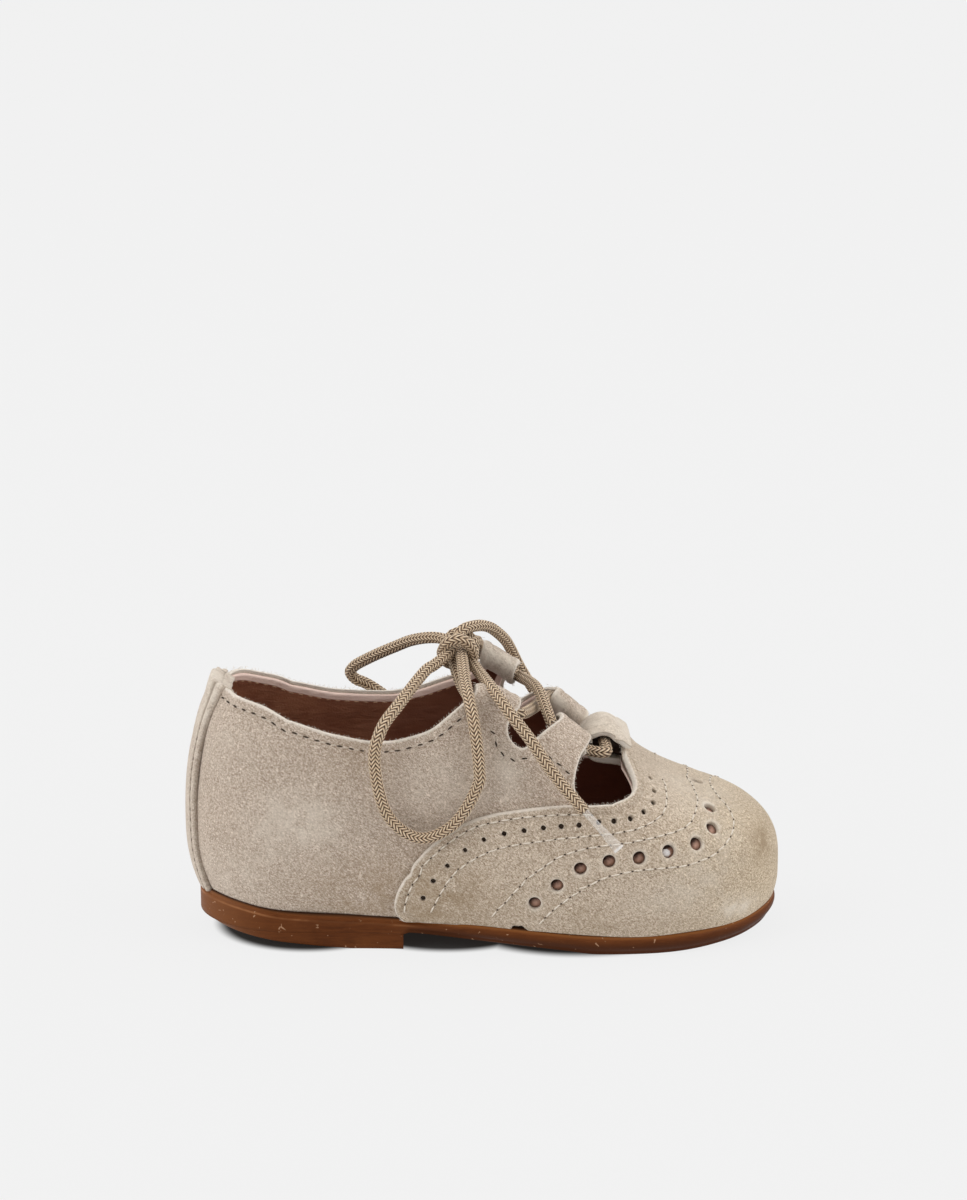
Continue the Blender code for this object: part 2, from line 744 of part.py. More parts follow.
# Vamp: overlay on the upper, with the same cut-outs and the punched wing row
VAMP_ALONG = spans(-20.0, (-18.0, 2), (-12.0, 2), (20.0, 7), (23.5, 1), (25.9, 6), (TOE_PIVOT_X, 1),
                   (TOE_MID, 10))
vamp_grids = []
for side in (LATERAL, MEDIAL):
    along, up = grid(VAMP_ALONG, VAMP_FOOT, vamp_top(VAMP_ALONG), 2, 6)
    vamp_grids.append((along, up, side))
vamp = shell("vamp", vamp_grids, GAP + VAMP_WALL, GAP, vamp_suede)
for side in (LATERAL, MEDIAL):
    boolean(vamp, [window(cut_loop, side, 3.0, 2.0)], "DIFFERENCE")
clear_ends = stretch(roll_start + ROLL_CLEAR_SHIFT, roll_end + ROLL_CLEAR_SHIFT, 4.0)
boolean(vamp, [tube("clear", *clear_ends, UP, ROLL_CLEAR_R, ROLL_CLEAR_R)], "DIFFERENCE")
punches = []
for side in (LATERAL, MEDIAL):
    holes = WING_HOLES + (WING_PEAK,) if side == LATERAL else WING_HOLES
    for along, up in holes:
        lean = outward(along, up, side)
        spot = last(along, up, side)
        across = np.cross(lean, UP)
        punches.append(tube("punch", spot - lean, spot + lean * 4, across, HOLE_DIA / 2, HOLE_DIA / 2, HOLE_SIDES))
boolean(vamp, punches, "DIFFERENCE")

# Heel strip: overlay down the back
strip_grids = []
for side in (LATERAL, MEDIAL):
    ups = spans(VAMP_FOOT, (0.0, 5), (0.575, 9))
    edge = smooth(STRIP_EDGE, ups)
    share = np.linspace(0, 1, 4)
    along = (BACK_MID + (edge[:, None] - BACK_MID) * share[None, :]).T
    top = upper_top(along)
    up = np.minimum(np.repeat(ups[None, :], 4, axis=0), top - 0.012)
    strip_grids.append((along, up, side))
heel_strip = shell("heel_strip", strip_grids, GAP + STRIP_WALL, GAP, strip_suede)


def cord(name, points, dia):
    """Round cord with closed ends along points in millimetres."""
    curve = bpy.data.curves.new(name, "CURVE")
    curve.dimensions = "3D"
    curve.bevel_depth = dia / 2 * MM
    curve.bevel_resolution = LACE_SIDES
    curve.use_fill_caps = True
    line = curve.splines.new("POLY")
    line.points.add(len(points) - 1)
    for point, place in zip(line.points, points):
        point.co = (place[0] * MM, place[1] * MM, place[2] * MM, 1.0)
    line.use_smooth = True
    obj = bpy.data.objects.new(name, curve)
    bpy.context.scene.collection.objects.link(obj)
    curve.materials.append(material(name, LACE_TAN, 0.9))
    return obj


def through(label, side, forward):
    """Points that lead into, through and out of a folded loop."""
    start, end, rise = tab_loops[label, side]
    before, after = stretch(start, end, 1.2)
    inner_start, inner_end = stretch(start, end, -1.5)
    line = [before, inner_start, inner_end, after]
    return line if forward else line[::-1]


def from_knot(way):
    """Two points that lead straight out of the knot's surface."""
    way = np.array(way) / np.linalg.norm(way)
    half = np.array(KNOT_SIZE) / 2
    skin = way / np.linalg.norm(way / half)
    normal = skin / half ** 2
    normal = normal / np.linalg.norm(normal)
    seat = np.array(KNOT_AT) + skin + normal * GAP
    return [seat, seat + normal * KNOT_LEAD]


def knotted(out_way, rows, back_way, spacing):
    """Points of a cord that leaves the knot, and comes back to it if back_way is given."""
    seat, lead = from_knot(out_way)
    if back_way is None:
        return np.vstack([seat, open_curve([lead] + list(rows), spacing)])
    back_seat, back_lead = from_knot(back_way)
    return np.vstack([seat, open_curve([lead] + list(rows) + [back_lead], spacing), back_seat])


roll_in, roll_out = stretch(roll_start, roll_end, -2.0)
crossing_route = from_knot(KNOT_TO_NEAR_LOOP) + [NEAR_LEAD]
crossing_route += through("top", LATERAL, True)
crossing_route.append(UNDER_CROSS)
crossing_route += through("mid", MEDIAL, True)
crossing_route += [FAR_TURN, roll_out, roll_in, NEAR_TURN]
crossing_route += through("mid", LATERAL, False)
crossing_route.append(OVER_CROSS)
crossing_route += through("top", MEDIAL, False)
crossing_route += [FAR_LEAD] + from_knot(KNOT_TO_FAR_LOOP)[::-1]
cord("lace_crossings", open_curve(crossing_route, CROSS_STEP), LACE_DIA)
cord("lace_bow_near", knotted(KNOT_TO_NEAR_BOW, BOW_NEAR, NEAR_BOW_TO_KNOT, BOW_STEP), LACE_DIA)
cord("lace_bow_far", knotted(KNOT_TO_FAR_BOW, BOW_FAR, FAR_BOW_TO_KNOT, BOW_STEP), LACE_DIA)
cord("lace_end_near", knotted(KNOT_TO_NEAR_END, END_NEAR, None, END_STEP), LACE_DIA)
cord("lace_end_far", knotted(KNOT_TO_FAR_END, END_FAR, None, END_STEP), LACE_DIA)

# Knot: one rounded lump
bm = bmesh.new()
bmesh.ops.create_icosphere(bm, subdivisions=2, radius=0.5)
for vert in bm.verts:
    vert.co = [(c * size + at) * MM for c, size, at in zip(vert.co, KNOT_SIZE, KNOT_AT)]
for face in bm.faces:
    face.smooth = True
knot_mesh = bpy.data.meshes.new("lace_knot")
bm.to_mesh(knot_mesh)
bm.free()
knot_mesh.materials.append(material("lace_knot", LACE_TAN, 0.9))
knot = bpy.data.objects.new("lace_knot", knot_mesh)
bpy.context.scene.collection.objects.link(knot)

# Aglets: short sleeves just past the lace ends
for label, route, goal in (("aglet_near", END_NEAR, AGLET_NEAR_TO), ("aglet_far", END_FAR, AGLET_FAR_TO)):
    tip = np.array(route[-1])
    way = (np.array(goal) - tip) / np.linalg.norm(np.array(goal) - tip)
    start = tip + way * GAP
    sleeve = tube(label, start, start + way * AGLET_LEN, UP, AGLET_DIA / 2, AGLET_DIA / 2)
    sleeve.data.materials.append(aglet_clear)
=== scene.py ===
import math

import bmesh
import bpy
import numpy as np
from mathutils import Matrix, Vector, kdtree


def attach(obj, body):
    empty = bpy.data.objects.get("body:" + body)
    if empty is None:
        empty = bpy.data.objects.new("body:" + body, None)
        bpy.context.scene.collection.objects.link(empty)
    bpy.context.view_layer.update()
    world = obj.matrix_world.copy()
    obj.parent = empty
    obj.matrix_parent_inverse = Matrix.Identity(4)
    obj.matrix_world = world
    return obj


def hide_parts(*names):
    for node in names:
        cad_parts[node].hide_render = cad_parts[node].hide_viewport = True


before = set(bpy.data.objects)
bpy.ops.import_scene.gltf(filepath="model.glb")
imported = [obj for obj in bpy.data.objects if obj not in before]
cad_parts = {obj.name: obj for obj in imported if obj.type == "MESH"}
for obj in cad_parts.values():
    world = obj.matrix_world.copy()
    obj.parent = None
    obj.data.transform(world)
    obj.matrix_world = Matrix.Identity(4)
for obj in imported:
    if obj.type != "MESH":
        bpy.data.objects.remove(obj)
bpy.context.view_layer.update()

mm = 0.001
near, far = -1, 1  # outer side of the foot faces the camera

# the last: the solids' numbers, with the sole's top edge as high as it shows, millimetres
lastForm = {
    "heelPivot": -44.0, "toePivot": 28.0, "backX": -67.3, "tipX": 67.2, "backCrown": 64.5,
    "fullSide": 2.5, "fullBack": 2.4, "fullTip": 4.2, "toeRound": 2.3,
    "tuckSide": 1.6, "tuckBack": 2.6, "tuckTip": 1.0, "tuckCurve": 2.2, "gap": -0.15,
    # x, half width near, half width far
    "widths": ((-44, 20.6, 20.6), (-22, 21.4, 20.4), (-4, 23, 21.7), (10, 25, 24.2), (20, 26.5, 26.2),
               (28, 27, 26.6)),
    # x, height of the closing ridge
    "crown": ((-44, 78), (-22, 80), (-4, 74), (10, 62), (20, 53.2), (28, 45.6), (36, 38.3), (43, 34.3), (50, 32),
              (59.5, 30.3), (68, 27.5)),
    # x, bulge height, sole top, sole bottom, swing
    "length": ((-69, 25.2, 10.4, 4.6, 0), (-62, 23.8, 11.0, 4.4, 0), (-56, 22.4, 10.5, 4.2, 0),
               (-50, 21.1, 9.6, 4.1, 0), (-44, 20, 8.9, 4, 0), (-30, 19.3, 8.2, 4, 0), (-18, 18.8, 7.5, 3.6, 0),
               (0, 17.6, 6.7, 2.3, 0), (14, 16.2, 5.7, 1.1, 0.1), (25, 15.2, 5.1, 0.4, 0.2),
               (35, 14.6, 4.9, 0.2, 0.3), (45, 14, 5.2, 0.4, 0.5), (56, 13.3, 5.9, 1.2, 0.7),
               (69, 12.5, 8.1, 3.3, 1)),
}
bulgeCol, seatCol, floorCol, swingCol = 1, 2, 3, 4
backMid = lastForm["heelPivot"] - 90
toeMid = lastForm["toePivot"] + 90


def smooth(rows, x, column=1):
    xs = np.array([row[0] for row in rows], float)
    ys = np.array([row[column] for row in rows], float)
    slopes = np.gradient(ys, xs)
    x = np.clip(np.asarray(x, float), xs[0], xs[-1])
    low = np.clip(np.searchsorted(xs, x) - 1, 0, len(xs) - 2)
    span = xs[low + 1] - xs[low]
    s = (x - xs[low]) / span
    start = (1 + 2 * s) * (1 - s) ** 2 * ys[low] + s * (1 - s) ** 2 * span * slopes[low]
    return start + s * s * (3 - 2 * s) * ys[low + 1] + s * s * (s - 1) * span * slopes[low + 1]


def ease(x, low, high):
    s = np.clip((np.asarray(x, float) - low) / (high - low), 0, 1)
    return s * s * (3 - 2 * s)


def unit(v):
    return v / np.maximum(np.linalg.norm(v, axis=-1, keepdims=True), 1e-9)


def runOf(path):  # length walked up to each point
    return np.concatenate([[0], np.cumsum(np.linalg.norm(np.diff(path, axis=0), axis=1))])


def pick(at, run, rows):  # rows read off at chosen lengths
    return np.stack([np.interp(at, run, column) for column in rows.T], 1)


def stacked(rows):  # equal tuples joined item by item
    return [np.vstack(items) for items in zip(*rows)]


def station(along, side):
    form = lastForm
    heel = along < form["heelPivot"]
    toe = along > form["toePivot"]
    pivot = np.clip(along, form["heelPivot"], form["toePivot"])
    turn = np.where(heel, 90 - (form["heelPivot"] - along), np.where(toe, 90 - (along - form["toePivot"]), 90.0))
    c, s = np.cos(np.radians(turn)), np.sin(np.radians(turn))
    dirX = np.where(heel, -c, np.where(toe, c, 0.0))
    half = smooth(form["widths"], pivot, 1 if side == near else 2)
    reach = np.where(heel, form["heelPivot"] - form["backX"], form["tipX"] - form["toePivot"])
    power = np.where(heel, 2.0, form["toeRound"])
    oval = ((np.abs(c) / reach) ** power + (np.abs(s) / half) ** power) ** (-1 / power)
    return pivot, dirX, side * s, np.where(heel | toe, oval, half), s * s, heel


def lastPoint(along, up, side):
    form = lastForm
    along, up = np.broadcast_arrays(np.asarray(along, float), np.asarray(up, float))
    pivot, dirX, dirY, radius, w, heel = station(along, side)
    full = np.where(heel, form["fullBack"], form["fullTip"]) * (1 - w) + form["fullSide"] * w
    tuck = np.where(heel, form["tuckBack"], form["tuckTip"]) * (1 - w) + form["tuckSide"] * w
    bulge = smooth(form["length"], pivot + radius * dirX, bulgeCol)
    angle = np.clip(up, 0, 1) * math.pi / 2
    c, s = np.abs(np.cos(angle)), np.sin(angle)
    r = (c ** full + s ** full) ** (-1 / full)
    down = np.clip(-up, 0, 1.2)
    out = np.where(up >= 0, r * c, 1 - tuck / radius * down ** form["tuckCurve"])
    x = pivot + radius * out * dirX
    sideCrown = smooth(form["crown"], form["heelPivot"])
    crown = np.where(heel, form["backCrown"] * (1 - w) + sideCrown * w, smooth(form["crown"], x))
    seat = smooth(form["length"], x, seatCol) + form["gap"]
    z = np.where(up >= 0, bulge + (crown - bulge) * r * s, bulge + (seat - bulge) * down)
    return np.stack([x, radius * out * dirY + smooth(form["length"], x, swingCol), z], -1)


def outward(surface, along, up, side, topLimit=0.985):
    along, up = np.broadcast_arrays(np.asarray(along, float), np.asarray(up, float))
    top = np.minimum(up, topLimit)
    across = surface(along + 0.2, top, side) - surface(along - 0.2, top, side)
    rise = surface(along, top + 0.008, side) - surface(along, np.maximum(top - 0.008, -1), side)
    return unit(np.cross(across, rise) * -side)


def through(rows, spacing):  # smooth open curve through rows, points evenly apart
    p = np.array(rows, float)
    p = np.vstack([2 * p[0] - p[1], p, 2 * p[-1] - p[-2]])
    t = np.linspace(0, 1, 40, endpoint=False)[:, None]
    fine = [0.5 * (2 * b + (c - a) * t + (2 * a - 5 * b + 4 * c - d) * t * t + (3 * b - a - 3 * c + d) * t ** 3)
            for a, b, c, d in zip(p, p[1:], p[2:], p[3:])]
    fine = np.vstack(fine + [p[-2:-1]])
    run = runOf(fine)
    count = max(3, int(round(run[-1] / spacing)) + 1)
    return pick(np.linspace(0, run[-1], count), run, fine)


# camera as the photograph was taken
cameraForm = {"azimuth": -1.5, "elevation": 17.5, "distance": 700.0, "target": (0, 0, 28), "lens": 90.93,
              "shiftX": 0.0008, "shiftY": 0.17}
turn, tilt = math.radians(cameraForm["azimuth"]), math.radians(cameraForm["elevation"])
back = Vector((math.sin(turn) * math.cos(tilt), -math.cos(turn) * math.cos(tilt), math.sin(tilt)))
cameraData = bpy.data.cameras.new("camera")
cameraData.lens = cameraForm["lens"]
cameraData.sensor_width = 36
cameraData.shift_x, cameraData.shift_y = cameraForm["shiftX"], cameraForm["shiftY"]
cameraData.clip_start, cameraData.clip_end = 0.01, 50
camera = bpy.data.objects.new("camera", cameraData)
camera.location = (Vector(cameraForm["target"]) + back * cameraForm["distance"]) * mm
camera.rotation_euler = (-back).to_track_quat("-Z", "Y").to_euler()
bpy.context.scene.collection.objects.link(camera)
bpy.context.scene.camera = camera
print("camera set")


def srgb(r, g, b):
    return tuple(((v / 255 + 0.055) / 1.055) ** 2.4 if v > 10 else v / 255 / 12.92 for v in (r, g, b)) + (1.0,)


def setInputs(node, **values):  # an underscore stands for a space in the socket's name
    for key, value in values.items():
        node.inputs[key.replace("_", " ")].default_value = value


class Net:  # a node tree, with a short call for each kind of node the finishes share
    def __init__(self, tree):
        self.nodes, self.links = tree.nodes, tree.links

    def add(self, kind, **values):
        node = self.nodes.new(kind)
        for key, value in values.items():
            if hasattr(node, key):
                setattr(node, key, value)
            else:
                setInputs(node, **{key: value})
        return node

    def link(self, value, socket):  # from an output, or a plain value
        if hasattr(value, "is_output"):
            self.links.new(value, socket)
        else:
            socket.default_value = value

    def spot(self):
        return self.add("ShaderNodeTexCoord").outputs["Object"]

    def attribute(self, name):
        return self.add("ShaderNodeAttribute", attribute_name=name).outputs["Fac"]

    def split(self, vector):
        node = self.add("ShaderNodeSeparateXYZ")
        self.link(vector, node.inputs[0])
        return node.outputs

    def drawn(self, vector, **values):  # the same place, stretched or turned
        node = self.add("ShaderNodeMapping", **values)
        self.link(vector, node.inputs["Vector"])
        return node.outputs["Vector"]

    def noise(self, vector, scale, detail=2.0, rough=0.5, distort=0.0):
        node = self.add("ShaderNodeTexNoise", Scale=scale, Detail=detail, Roughness=rough, Distortion=distort)
        self.link(vector, node.inputs["Vector"])
        return node.outputs["Fac"]

    def maths(self, operation, *values):
        node = self.add("ShaderNodeMath", operation=operation)
        for socket, value in zip(node.inputs, values):
            self.link(value, socket)
        return node.outputs[0]

    def plus(self, a, b):
        return self.maths("ADD", a, b)

    def minus(self, a, b):
        return self.maths("SUBTRACT", a, b)

    def times(self, a, b):
        return self.maths("MULTIPLY", a, b)

    def fade(self, value, fromLow, fromHigh, toLow=0.0, toHigh=1.0):
        node = self.add("ShaderNodeMapRange", interpolation_type="SMOOTHSTEP")
        for key, number in (("Value", value), ("From Min", fromLow), ("From Max", fromHigh), ("To Min", toLow),
                            ("To Max", toHigh)):
            self.link(number, node.inputs[key])
        return node.outputs["Result"]

    def ramp(self, source, stops):
        node = self.add("ShaderNodeValToRGB")
        while len(node.color_ramp.elements) < len(stops):
            node.color_ramp.elements.new(0.5)
        for element, (at, colour) in zip(node.color_ramp.elements, stops):
            element.position, element.color = at, colour
        self.link(source, node.inputs["Fac"])
        return node.outputs["Color"]

    def mix(self, factor, a, b, blend="MIX"):
        node = self.add("ShaderNodeMix", data_type="RGBA", blend_type=blend)
        for index, value in ((0, factor), (6, a), (7, b)):
            self.link(value, node.inputs[index])
        return node.outputs[2]

    def bump(self, shader, height, strength, distance):
        node = self.add("ShaderNodeBump", Strength=strength, Distance=distance)
        self.link(height, node.inputs["Height"])
        self.link(node.outputs["Normal"], shader.inputs["Normal"])


def newMaterial(name):
    mat = bpy.data.materials.new(name)
    mat.use_nodes = True
    return mat, Net(mat.node_tree), mat.node_tree.nodes["Principled BSDF"]


def makePiece(name, verts, faces, mats, values=None, uv=None):
    mesh = bpy.data.meshes.new(name)
    mesh.from_pydata((np.asarray(verts) * mm).tolist(), [], faces)
    mesh.polygons.foreach_set("use_smooth", np.ones(len(mesh.polygons), bool))
    for mat in mats:
        mesh.materials.append(mat)
    if uv is not None:
        mesh.uv_layers.new(name="braid").data.foreach_set("uv", np.asarray(uv, np.float32).ravel())
    for key, column in (values or {}).items():
        column = np.asarray(column, np.float32)
        kind, field = ("FLOAT", "value") if column.ndim == 1 else ("FLOAT_VECTOR", "vector")
        mesh.attributes.new(key, kind, "POINT").data.foreach_set(field, column.ravel())
    mesh.update()
    obj = bpy.data.objects.new(name, mesh)
    bpy.context.scene.collection.objects.link(obj)
    return obj


def place(obj, slot, *nodes):
    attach(obj, "root")
    if nodes:
        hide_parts(*nodes)
    print(obj.name, len(obj.data.polygons), "faces")
    return obj


# lace cord: round braid, eight lanes of slanted strands; routes as x, y, z in millimetres
laceForm = {
    "dia": 2.6, "lanes": 8, "pitch": 0.98, "slant": 1.35, "relief": 0.23, "sides": 40, "step": 0.18,
    # from the gaps between strands to their shine: height, tone; the dark gaps are painted shade and the pale shine a
    # painted highlight
    "tones": ((0.06, srgb(54, 34, 21)), (0.30, srgb(98, 69, 44)), (0.58, srgb(172, 140, 106)),
              (0.95, srgb(234, 214, 184))),
    "nearLead": ((-6.0, -1.0, 63.8), (-6.3, -2.5, 62.1), (-5.7, -6.0, 60.2), (-4.4, -10.4, 58.2)),
    "farLead": ((-0.9, 8.5, 64.4), (-2.0, 5.0, 65.4), (-4.0, 2.0, 65.0)),
    "underCross": (12.2, 0.0, 51.4), "overCross": (12.6, 0.0, 55.4),
    "nearTurn": (27.6, -10.6, 43.5), "farTurn": (26.6, 10.6, 44.3),
    "bowNear": ((-5.3, 0.5, 65.1), (-7.0, -1.8, 65.0), (-8.8, -4.2, 64.1), (-11.1, -7.0, 63.1), (-13.4, -10, 62.2),
                (-19, -19, 57.4), (-23, -23.5, 52.8), (-24.6, -24.4, 45.4), (-21.9, -24.8, 33.6),
                (-14.8, -25.4, 28.2), (-7, -25.4, 31.4), (-1.9, -25.2, 39.7), (-1.4, -24.8, 44.5),
                (-2.4, -22.8, 53.4), (-3.5, -18.8, 58.4), (-4.2, -13.6, 60.9), (-4.5, -9.0, 62.6), (-4.7, -5.2, 63.8),
                (-4.9, -2.2, 64.8), (-5.1, 0.8, 65.5)),
    "bowFar": ((-6.9, 1.5, 65.3), (-8.0, 3.5, 66.0), (-10.0, 5.6, 66.2), (-13.0, 8.0, 65.6), (-16.4, 11.0, 64.2),
               (-19.6, 13.5, 62.3), (-23.3, 16.0, 60.1), (-26.8, 18.5, 57.8), (-29.4, 20.5, 55.8),
               (-30.5, 22.0, 53.8), (-29.2, 23.2, 51.8), (-25.8, 24.4, 49.8), (-16, 25, 43), (-8, 25.4, 40.5),
               (-2, 25.4, 44.5), (-1, 24.6, 51.5), (-3.4, 20.0, 59.6), (-4.6, 13, 63.6), (-5.0, 5.0, 64.8)),
    "endNear": ((-3.7, 0.5, 63.4), (-2.4, -2.0, 62.4), (-1.2, -6.0, 61.4), (0.3, -11.0, 60.7), (1.7, -15.5, 59.9),
                (3.4, -19.0, 58.3), (5.3, -21.5, 56.1), (7.3, -22.9, 53.7), (10.1, -24.3, 50.2), (13.8, -25.8, 44.8),
                (17.8, -27.2, 39.7), (21.1, -28.3, 36.0)),
    "endFar": ((-4.6, 2.0, 66.6), (-5.2, 2.8, 67.8), (-4.1, 4.0, 68.6), (-2.2, 6.0, 68.7), (-0.1, 8.5, 68.3),
               (2.0, 11.0, 67.2), (3.9, 13.5, 65.3), (5.7, 16.2, 62.9), (7.0, 18.4, 60.3), (10.0, 22.4, 53.6),
               (16.5, 26.8, 42.0), (21, 28.4, 35.8)),
    "agletNearTo": (31.0, -31.0, 25.2), "agletFarTo": (30.4, 31.0, 25.6), "agletLen": 12.5,
}
# folded tabs that hold the lace: along, up of each tab's top
tabForm = {
    "topTab": {near: ((-1.5, 0.490), (4.0, 0.552), (8.5, 0.572)), far: ((1.2, 0.590), (9.2, 0.645))},
    "midTab": {near: ((18.0, 0.690), (24.5, 0.717)), far: ((18.3, 0.690), (25.4, 0.722))},
    "thick": 2.9, "tall": 3.6, "sink": 0.2, "upScale": 60.0, "tuckIn": 0.14,
}
rollForm = {"x": 27.6, "z": 44.6, "half": 7.6}


def laceMaterial():
    mat, net, shader = newMaterial("braidedCord")
    parts = net.split(net.add("ShaderNodeUVMap", uv_map="braid").outputs["UV"])
    run, lane = parts["X"], parts["Y"]
    across = net.minus(net.maths("FRACT", lane), 0.5)
    odd = net.maths("MODULO", net.maths("FLOOR", lane), 2.0)
    way = net.minus(net.times(odd, 2.0), 1.0)
    shift = net.times(net.times(across, way), laceForm["slant"])
    phase = net.times(net.minus(run, shift), 2 * math.pi)
    strand = net.times(net.maths("COSINE", phase), 0.42)
    yarn = net.times(net.maths("COSINE", net.times(phase, 3.0)), 0.13)
    valley = net.times(net.times(across, across), 1.1)
    weave = net.minus(net.minus(strand, yarn), valley)
    spot = net.spot()
    fibre = net.noise(spot, 4200, 3, 0.7)
    patch = net.noise(spot, 420, 2)
    rough = net.times(net.minus(fibre, 0.5), 0.45)
    height = net.plus(net.plus(weave, 0.58), rough)
    # the braid's tone follows its height: painted shade in the gaps, painted highlight on the strands' crowns
    tone = net.ramp(height, laceForm["tones"])
    worn = net.mix(net.fade(patch, 0.3, 0.7, 0.0, 0.2), tone, srgb(160, 134, 106))
    net.link(worn, shader.inputs["Base Color"])
    net.bump(shader, height, 0.6, 0.0002)
    setInputs(shader, Roughness=0.66, Specular_IOR_Level=0.4, Sheen_Weight=0.15)
    return mat


def ringFrames(path):  # directions that turn as little as possible along the path
    ahead = unit(np.gradient(path, axis=0))
    side = np.zeros_like(path)
    first = np.cross(ahead[0], (0.31, 0.17, 0.93))
    side[0] = first / np.linalg.norm(first)
    for i in range(1, len(path)):
        v = side[i - 1] - ahead[i] * np.dot(side[i - 1], ahead[i])
        side[i] = v / np.linalg.norm(v)
    return ahead, side, np.cross(ahead, side)


def braidedTube(path):  # path in mm; returns points, faces, and where each corner lies on the braid
    form = laceForm
    ahead, sideWay, upWay = ringFrames(path)
    run = runOf(path)
    count = form["sides"]
    turn = np.arange(count) / count
    lane = turn * form["lanes"]
    across = lane - np.floor(lane) - 0.5
    way = np.where(np.floor(lane) % 2 == 0, 1.0, -1.0)
    phase = run[:, None] / form["pitch"] + (way * across * form["slant"])[None, :]
    strand = 0.5 + 0.5 * np.cos(2 * math.pi * phase)
    crown = np.cos(math.pi * across)[None, :] ** 0.7
    lift = form["relief"] * (0.5 * strand * crown + 0.5 * crown - 0.6)
    radius = form["dia"] / 2 + lift
    angle = 2 * math.pi * turn
    ring = np.cos(angle)[None, :, None] * sideWay[:, None, :] + np.sin(angle)[None, :, None] * upWay[:, None, :]
    points = (path[:, None, :] + ring * radius[:, :, None]).reshape(-1, 3)
    rows = len(path)
    i, j = np.meshgrid(np.arange(rows - 1), np.arange(count), indexing="ij")
    a, b = i * count + j, i * count + (j + 1) % count
    faces = np.stack([a, b, b + count, a + count], -1).reshape(-1, 4).tolist()
    step = run / form["pitch"]
    u = np.stack([step[i], step[i], step[i + 1], step[i + 1]], -1)
    v = np.stack([j, j + 1, j + 1, j], -1) * form["lanes"] / count
    uv = np.concatenate([np.stack([u, v], -1).reshape(-1, 2), np.zeros((2 * count, 2))])
    for ringStart, flip in ((0, True), ((rows - 1) * count, False)):  # close both ends
        cap = list(range(ringStart, ringStart + count))
        faces.append(cap[::-1] if flip else cap)
    return points, faces, uv


def loopPoints(tab, side, forward):  # through a folded tab, a little past both its ends
    ends = []
    for along, up in (tab[side][0], tab[side][-1]):
        lean = outward(lastPoint, along, up, side)
        ends.append(lastPoint(along, up, side) - lean * (tabForm["thick"] + tabForm["sink"]))
    start, end = ends
    axis = unit(end - start)
    line = [start - axis * 1.2, start + axis * 1.5, end - axis * 1.5, end + axis * 1.2]
    return line if forward else line[::-1]


braidMaterial = laceMaterial()


def laceRun(name, path, *nodes):
    points, faces, uv = braidedTube(path)
    return place(makePiece(name, points, faces, [braidMaterial], uv=uv), "lace_cord", *nodes)


form = laceForm
rollEnd = np.array((rollForm["x"], rollForm["half"] - 2.0, rollForm["z"]))
rollStart = rollEnd * (1, -1, 1)
crossRoute = list(form["nearLead"]) + loopPoints(tabForm["topTab"], near, True) + [form["underCross"]]
crossRoute += loopPoints(tabForm["midTab"], far, True) + [form["farTurn"], rollEnd, rollStart, form["nearTurn"]]
crossRoute += loopPoints(tabForm["midTab"], near, False) + [form["overCross"]]
crossRoute += loopPoints(tabForm["topTab"], far, False) + list(form["farLead"])
laceRun("laceCrossings", through(crossRoute, form["step"]), "lace_crossings")

for name, node, rows in (("laceBowNear", "lace_bow_near", "bowNear"), ("laceBowFar", "lace_bow_far", "bowFar")):
    path = through(form[rows], form["step"])
    obj = laceRun(name, path, node)


def agletMaterial():
    mat, net, shader = newMaterial("clearFilm")
    spot = net.spot()
    cloud = net.noise(spot, 900, 3, 0.6)
    net.link(net.ramp(cloud, ((0.3, srgb(232, 224, 214)), (0.7, srgb(250, 248, 246)))), shader.inputs["Base Color"])
    net.link(net.fade(cloud, 0.3, 0.7, 0.12, 0.32), shader.inputs["Roughness"])
    facing = net.add("ShaderNodeLayerWeight", Blend=0.35).outputs["Facing"]
    side = net.fade(facing, 0.25, 0.8, 0.10, 0.55)
    net.link(net.maths("MAXIMUM", side, net.fade(net.attribute("tip"), 0.93, 1.0, 0.0, 0.8)), shader.inputs["Alpha"])
    setInputs(shader, Specular_IOR_Level=0.6)
    return mat


filmMaterial = agletMaterial()
agletForm = {"sides": 28, "rows": 30, "wall": 0.16, "neckWide": 0.75, "tipWide": 1.25, "neckThick": 0.75,
             "tipThick": 0.42}


def makeAglet(name, start, way, node, wideWay):  # film sleeve past the cord's end, pressed flat toward its tip
    spec = agletForm
    share = np.linspace(0, 1, spec["rows"])
    halfWide = spec["neckWide"] + (spec["tipWide"] - spec["neckWide"]) * ease(share, 0.35, 1.0)
    halfThick = spec["neckThick"] + (spec["tipThick"] - spec["neckThick"]) * ease(share, 0.2, 0.9)
    wideDir = unit(wideWay - way * np.dot(wideWay, way))
    thinDir = np.cross(way, wideDir)
    angle = np.linspace(0, 2 * math.pi, spec["sides"], endpoint=False)
    rings = []
    for inner in (0.0, spec["wall"]):
        spot = start + way * (share * laceForm["agletLen"])[:, None]
        ring = spot[:, None, :] + np.cos(angle)[None, :, None] * wideDir * (halfWide - inner)[:, None, None]
        rings.append(ring + np.sin(angle)[None, :, None] * thinDir * (halfThick - inner)[:, None, None])
    outer, inner = rings
    film = np.concatenate([outer, inner[::-1]])
    tip = np.repeat(np.concatenate([share, share[::-1]]), spec["sides"])
    rows, count = film.shape[:2]
    i, j = np.meshgrid(np.arange(rows), np.arange(count), indexing="ij")
    a, b = i * count + j, i * count + (j + 1) % count
    c, d = ((i + 1) % rows) * count + (j + 1) % count, ((i + 1) % rows) * count + j
    faces = np.stack([a, b, c, d], -1).reshape(-1, 4).tolist()
    return place(makePiece(name, film.reshape(-1, 3), faces, [filmMaterial], {"tip": tip}), "aglet_clear", node)


